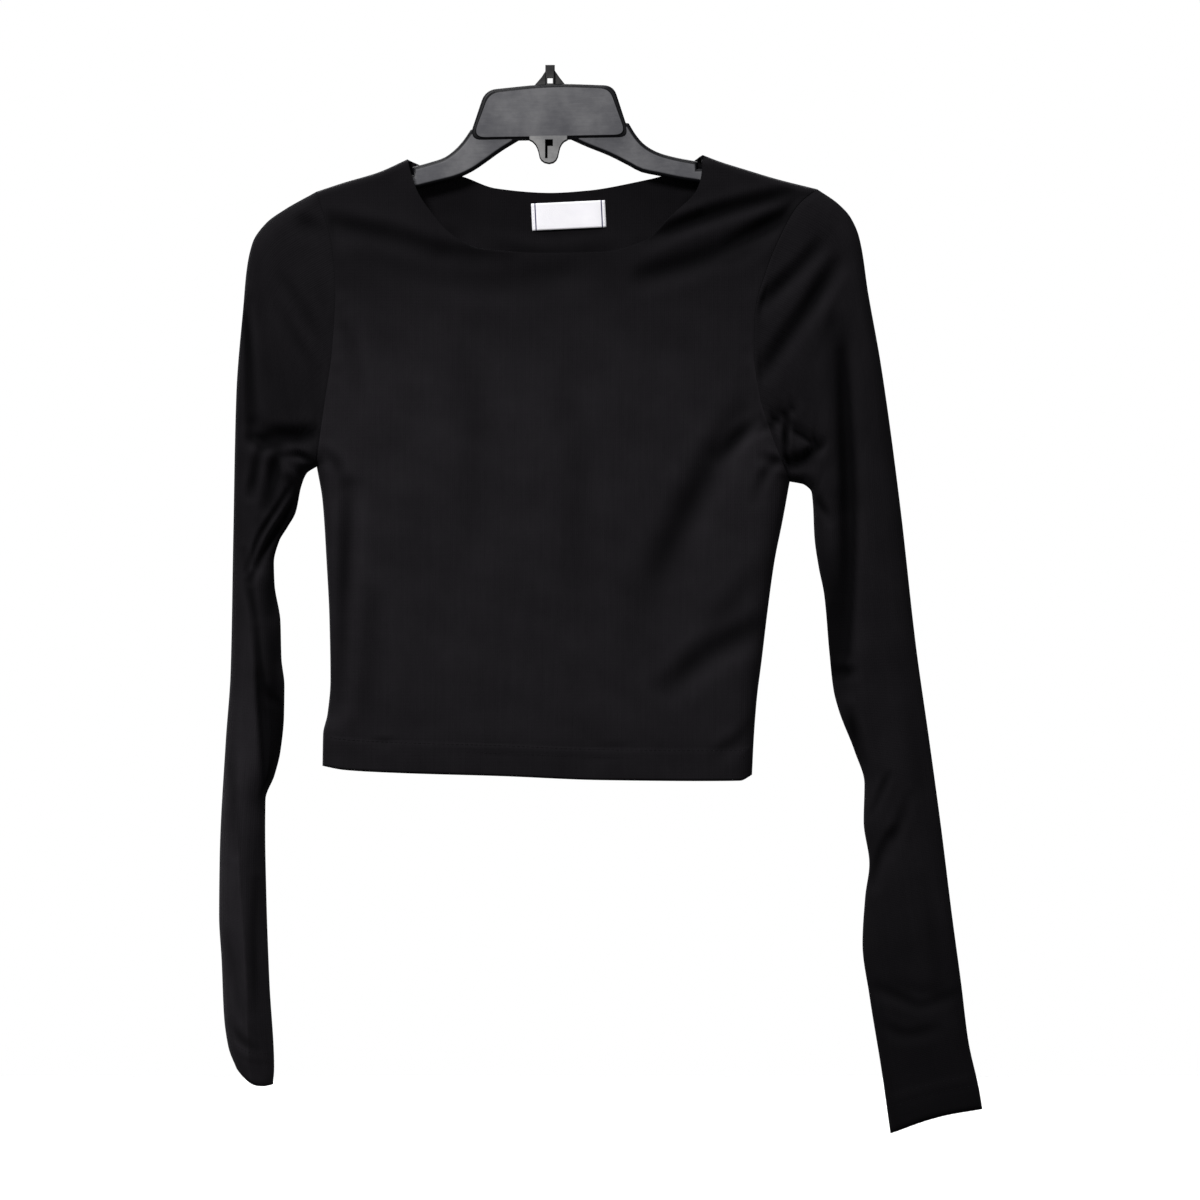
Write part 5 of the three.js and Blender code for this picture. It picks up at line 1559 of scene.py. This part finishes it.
def make_floor():
    """A pale floor that throws no light back on the cloth."""
    finish = Finish("pale_floor", Roughness=0.9, Specular_IOR_Level=0.1)
    clouds = finish.noise(finish.object_map(), FLOOR_CLOUDS)
    finish.set("Base Color", finish.colours(clouds, PALE_GREY, PALE))
    bm = bmesh.new()
    bmesh.ops.create_grid(bm, x_segments=4, y_segments=4, size=FLOOR_SIZE * MM / 2)
    bmesh.ops.translate(bm, verts=bm.verts, vec=(0, 0, FLOOR_Z * MM))
    floor = meshed("floor", bm, finish.material)
    floor.visible_diffuse = False
    floor.visible_glossy = False
    floor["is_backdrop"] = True


def make_surround():
    """White to the camera, and a dimmer white as light."""
    world = bpy.data.worlds.new("surround")
    world.use_nodes = True
    bpy.context.scene.world = world
    nodes, links = world.node_tree.nodes, world.node_tree.links
    nodes.clear()
    output = nodes.new("ShaderNodeOutputWorld")
    mixer = nodes.new("ShaderNodeMixShader")
    ray = nodes.new("ShaderNodeLightPath")
    for slot_number, strength in ((1, SURROUND["light"]), (2, SURROUND["seen"])):
        background = nodes.new("ShaderNodeBackground")
        background.inputs["Color"].default_value = WHITE_LIGHT
        background.inputs["Strength"].default_value = strength
        links.new(background.outputs[0], mixer.inputs[slot_number])
    links.new(ray.outputs["Is Camera Ray"], mixer.inputs[0])
    links.new(mixer.outputs[0], output.inputs["Surface"])


def make_light(name, kind, power, coming_from):
    """A lamp whose light comes from the given direction."""
    data = bpy.data.lights.new(name, kind)
    data.energy = power
    light = added(name, data)
    light.rotation_euler = Vector(coming_from).to_track_quat("Z", "Y").to_euler()
    return light


def make_lights():
    """A square soft box near the top, and wide suns that also light the floor."""
    key_side = Vector(KEY["from"]) - Vector(KEY["aim"])
    key = make_light("key", "AREA", KEY["power"], key_side)
    key.location = KEY["from"]
    key.data.size = KEY["size"]
    for row in LIGHTS:
        sun = make_light(row["name"], "SUN", row["strength"], row["from"])
        sun.data.angle = math.radians(row["spread"])


make_floor()
make_surround()
make_lights()
bpy.context.scene.view_settings.view_transform = "Standard"

# %% [markdown]
# Both boxes, of the CAD model and of the visual model, are kept in metres, as the lowest and
# the highest corner. The visual model has to stay as big as the CAD model.

# %% Size
visual_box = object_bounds()
sizes = {
    "cad": [[float(n) for n in corner] for corner in cad_box],
    "visual": [[float(n) for n in corner] for corner in visual_box],
}
print("visual box", [[round(n, 4) for n in corner] for corner in sizes["visual"]])
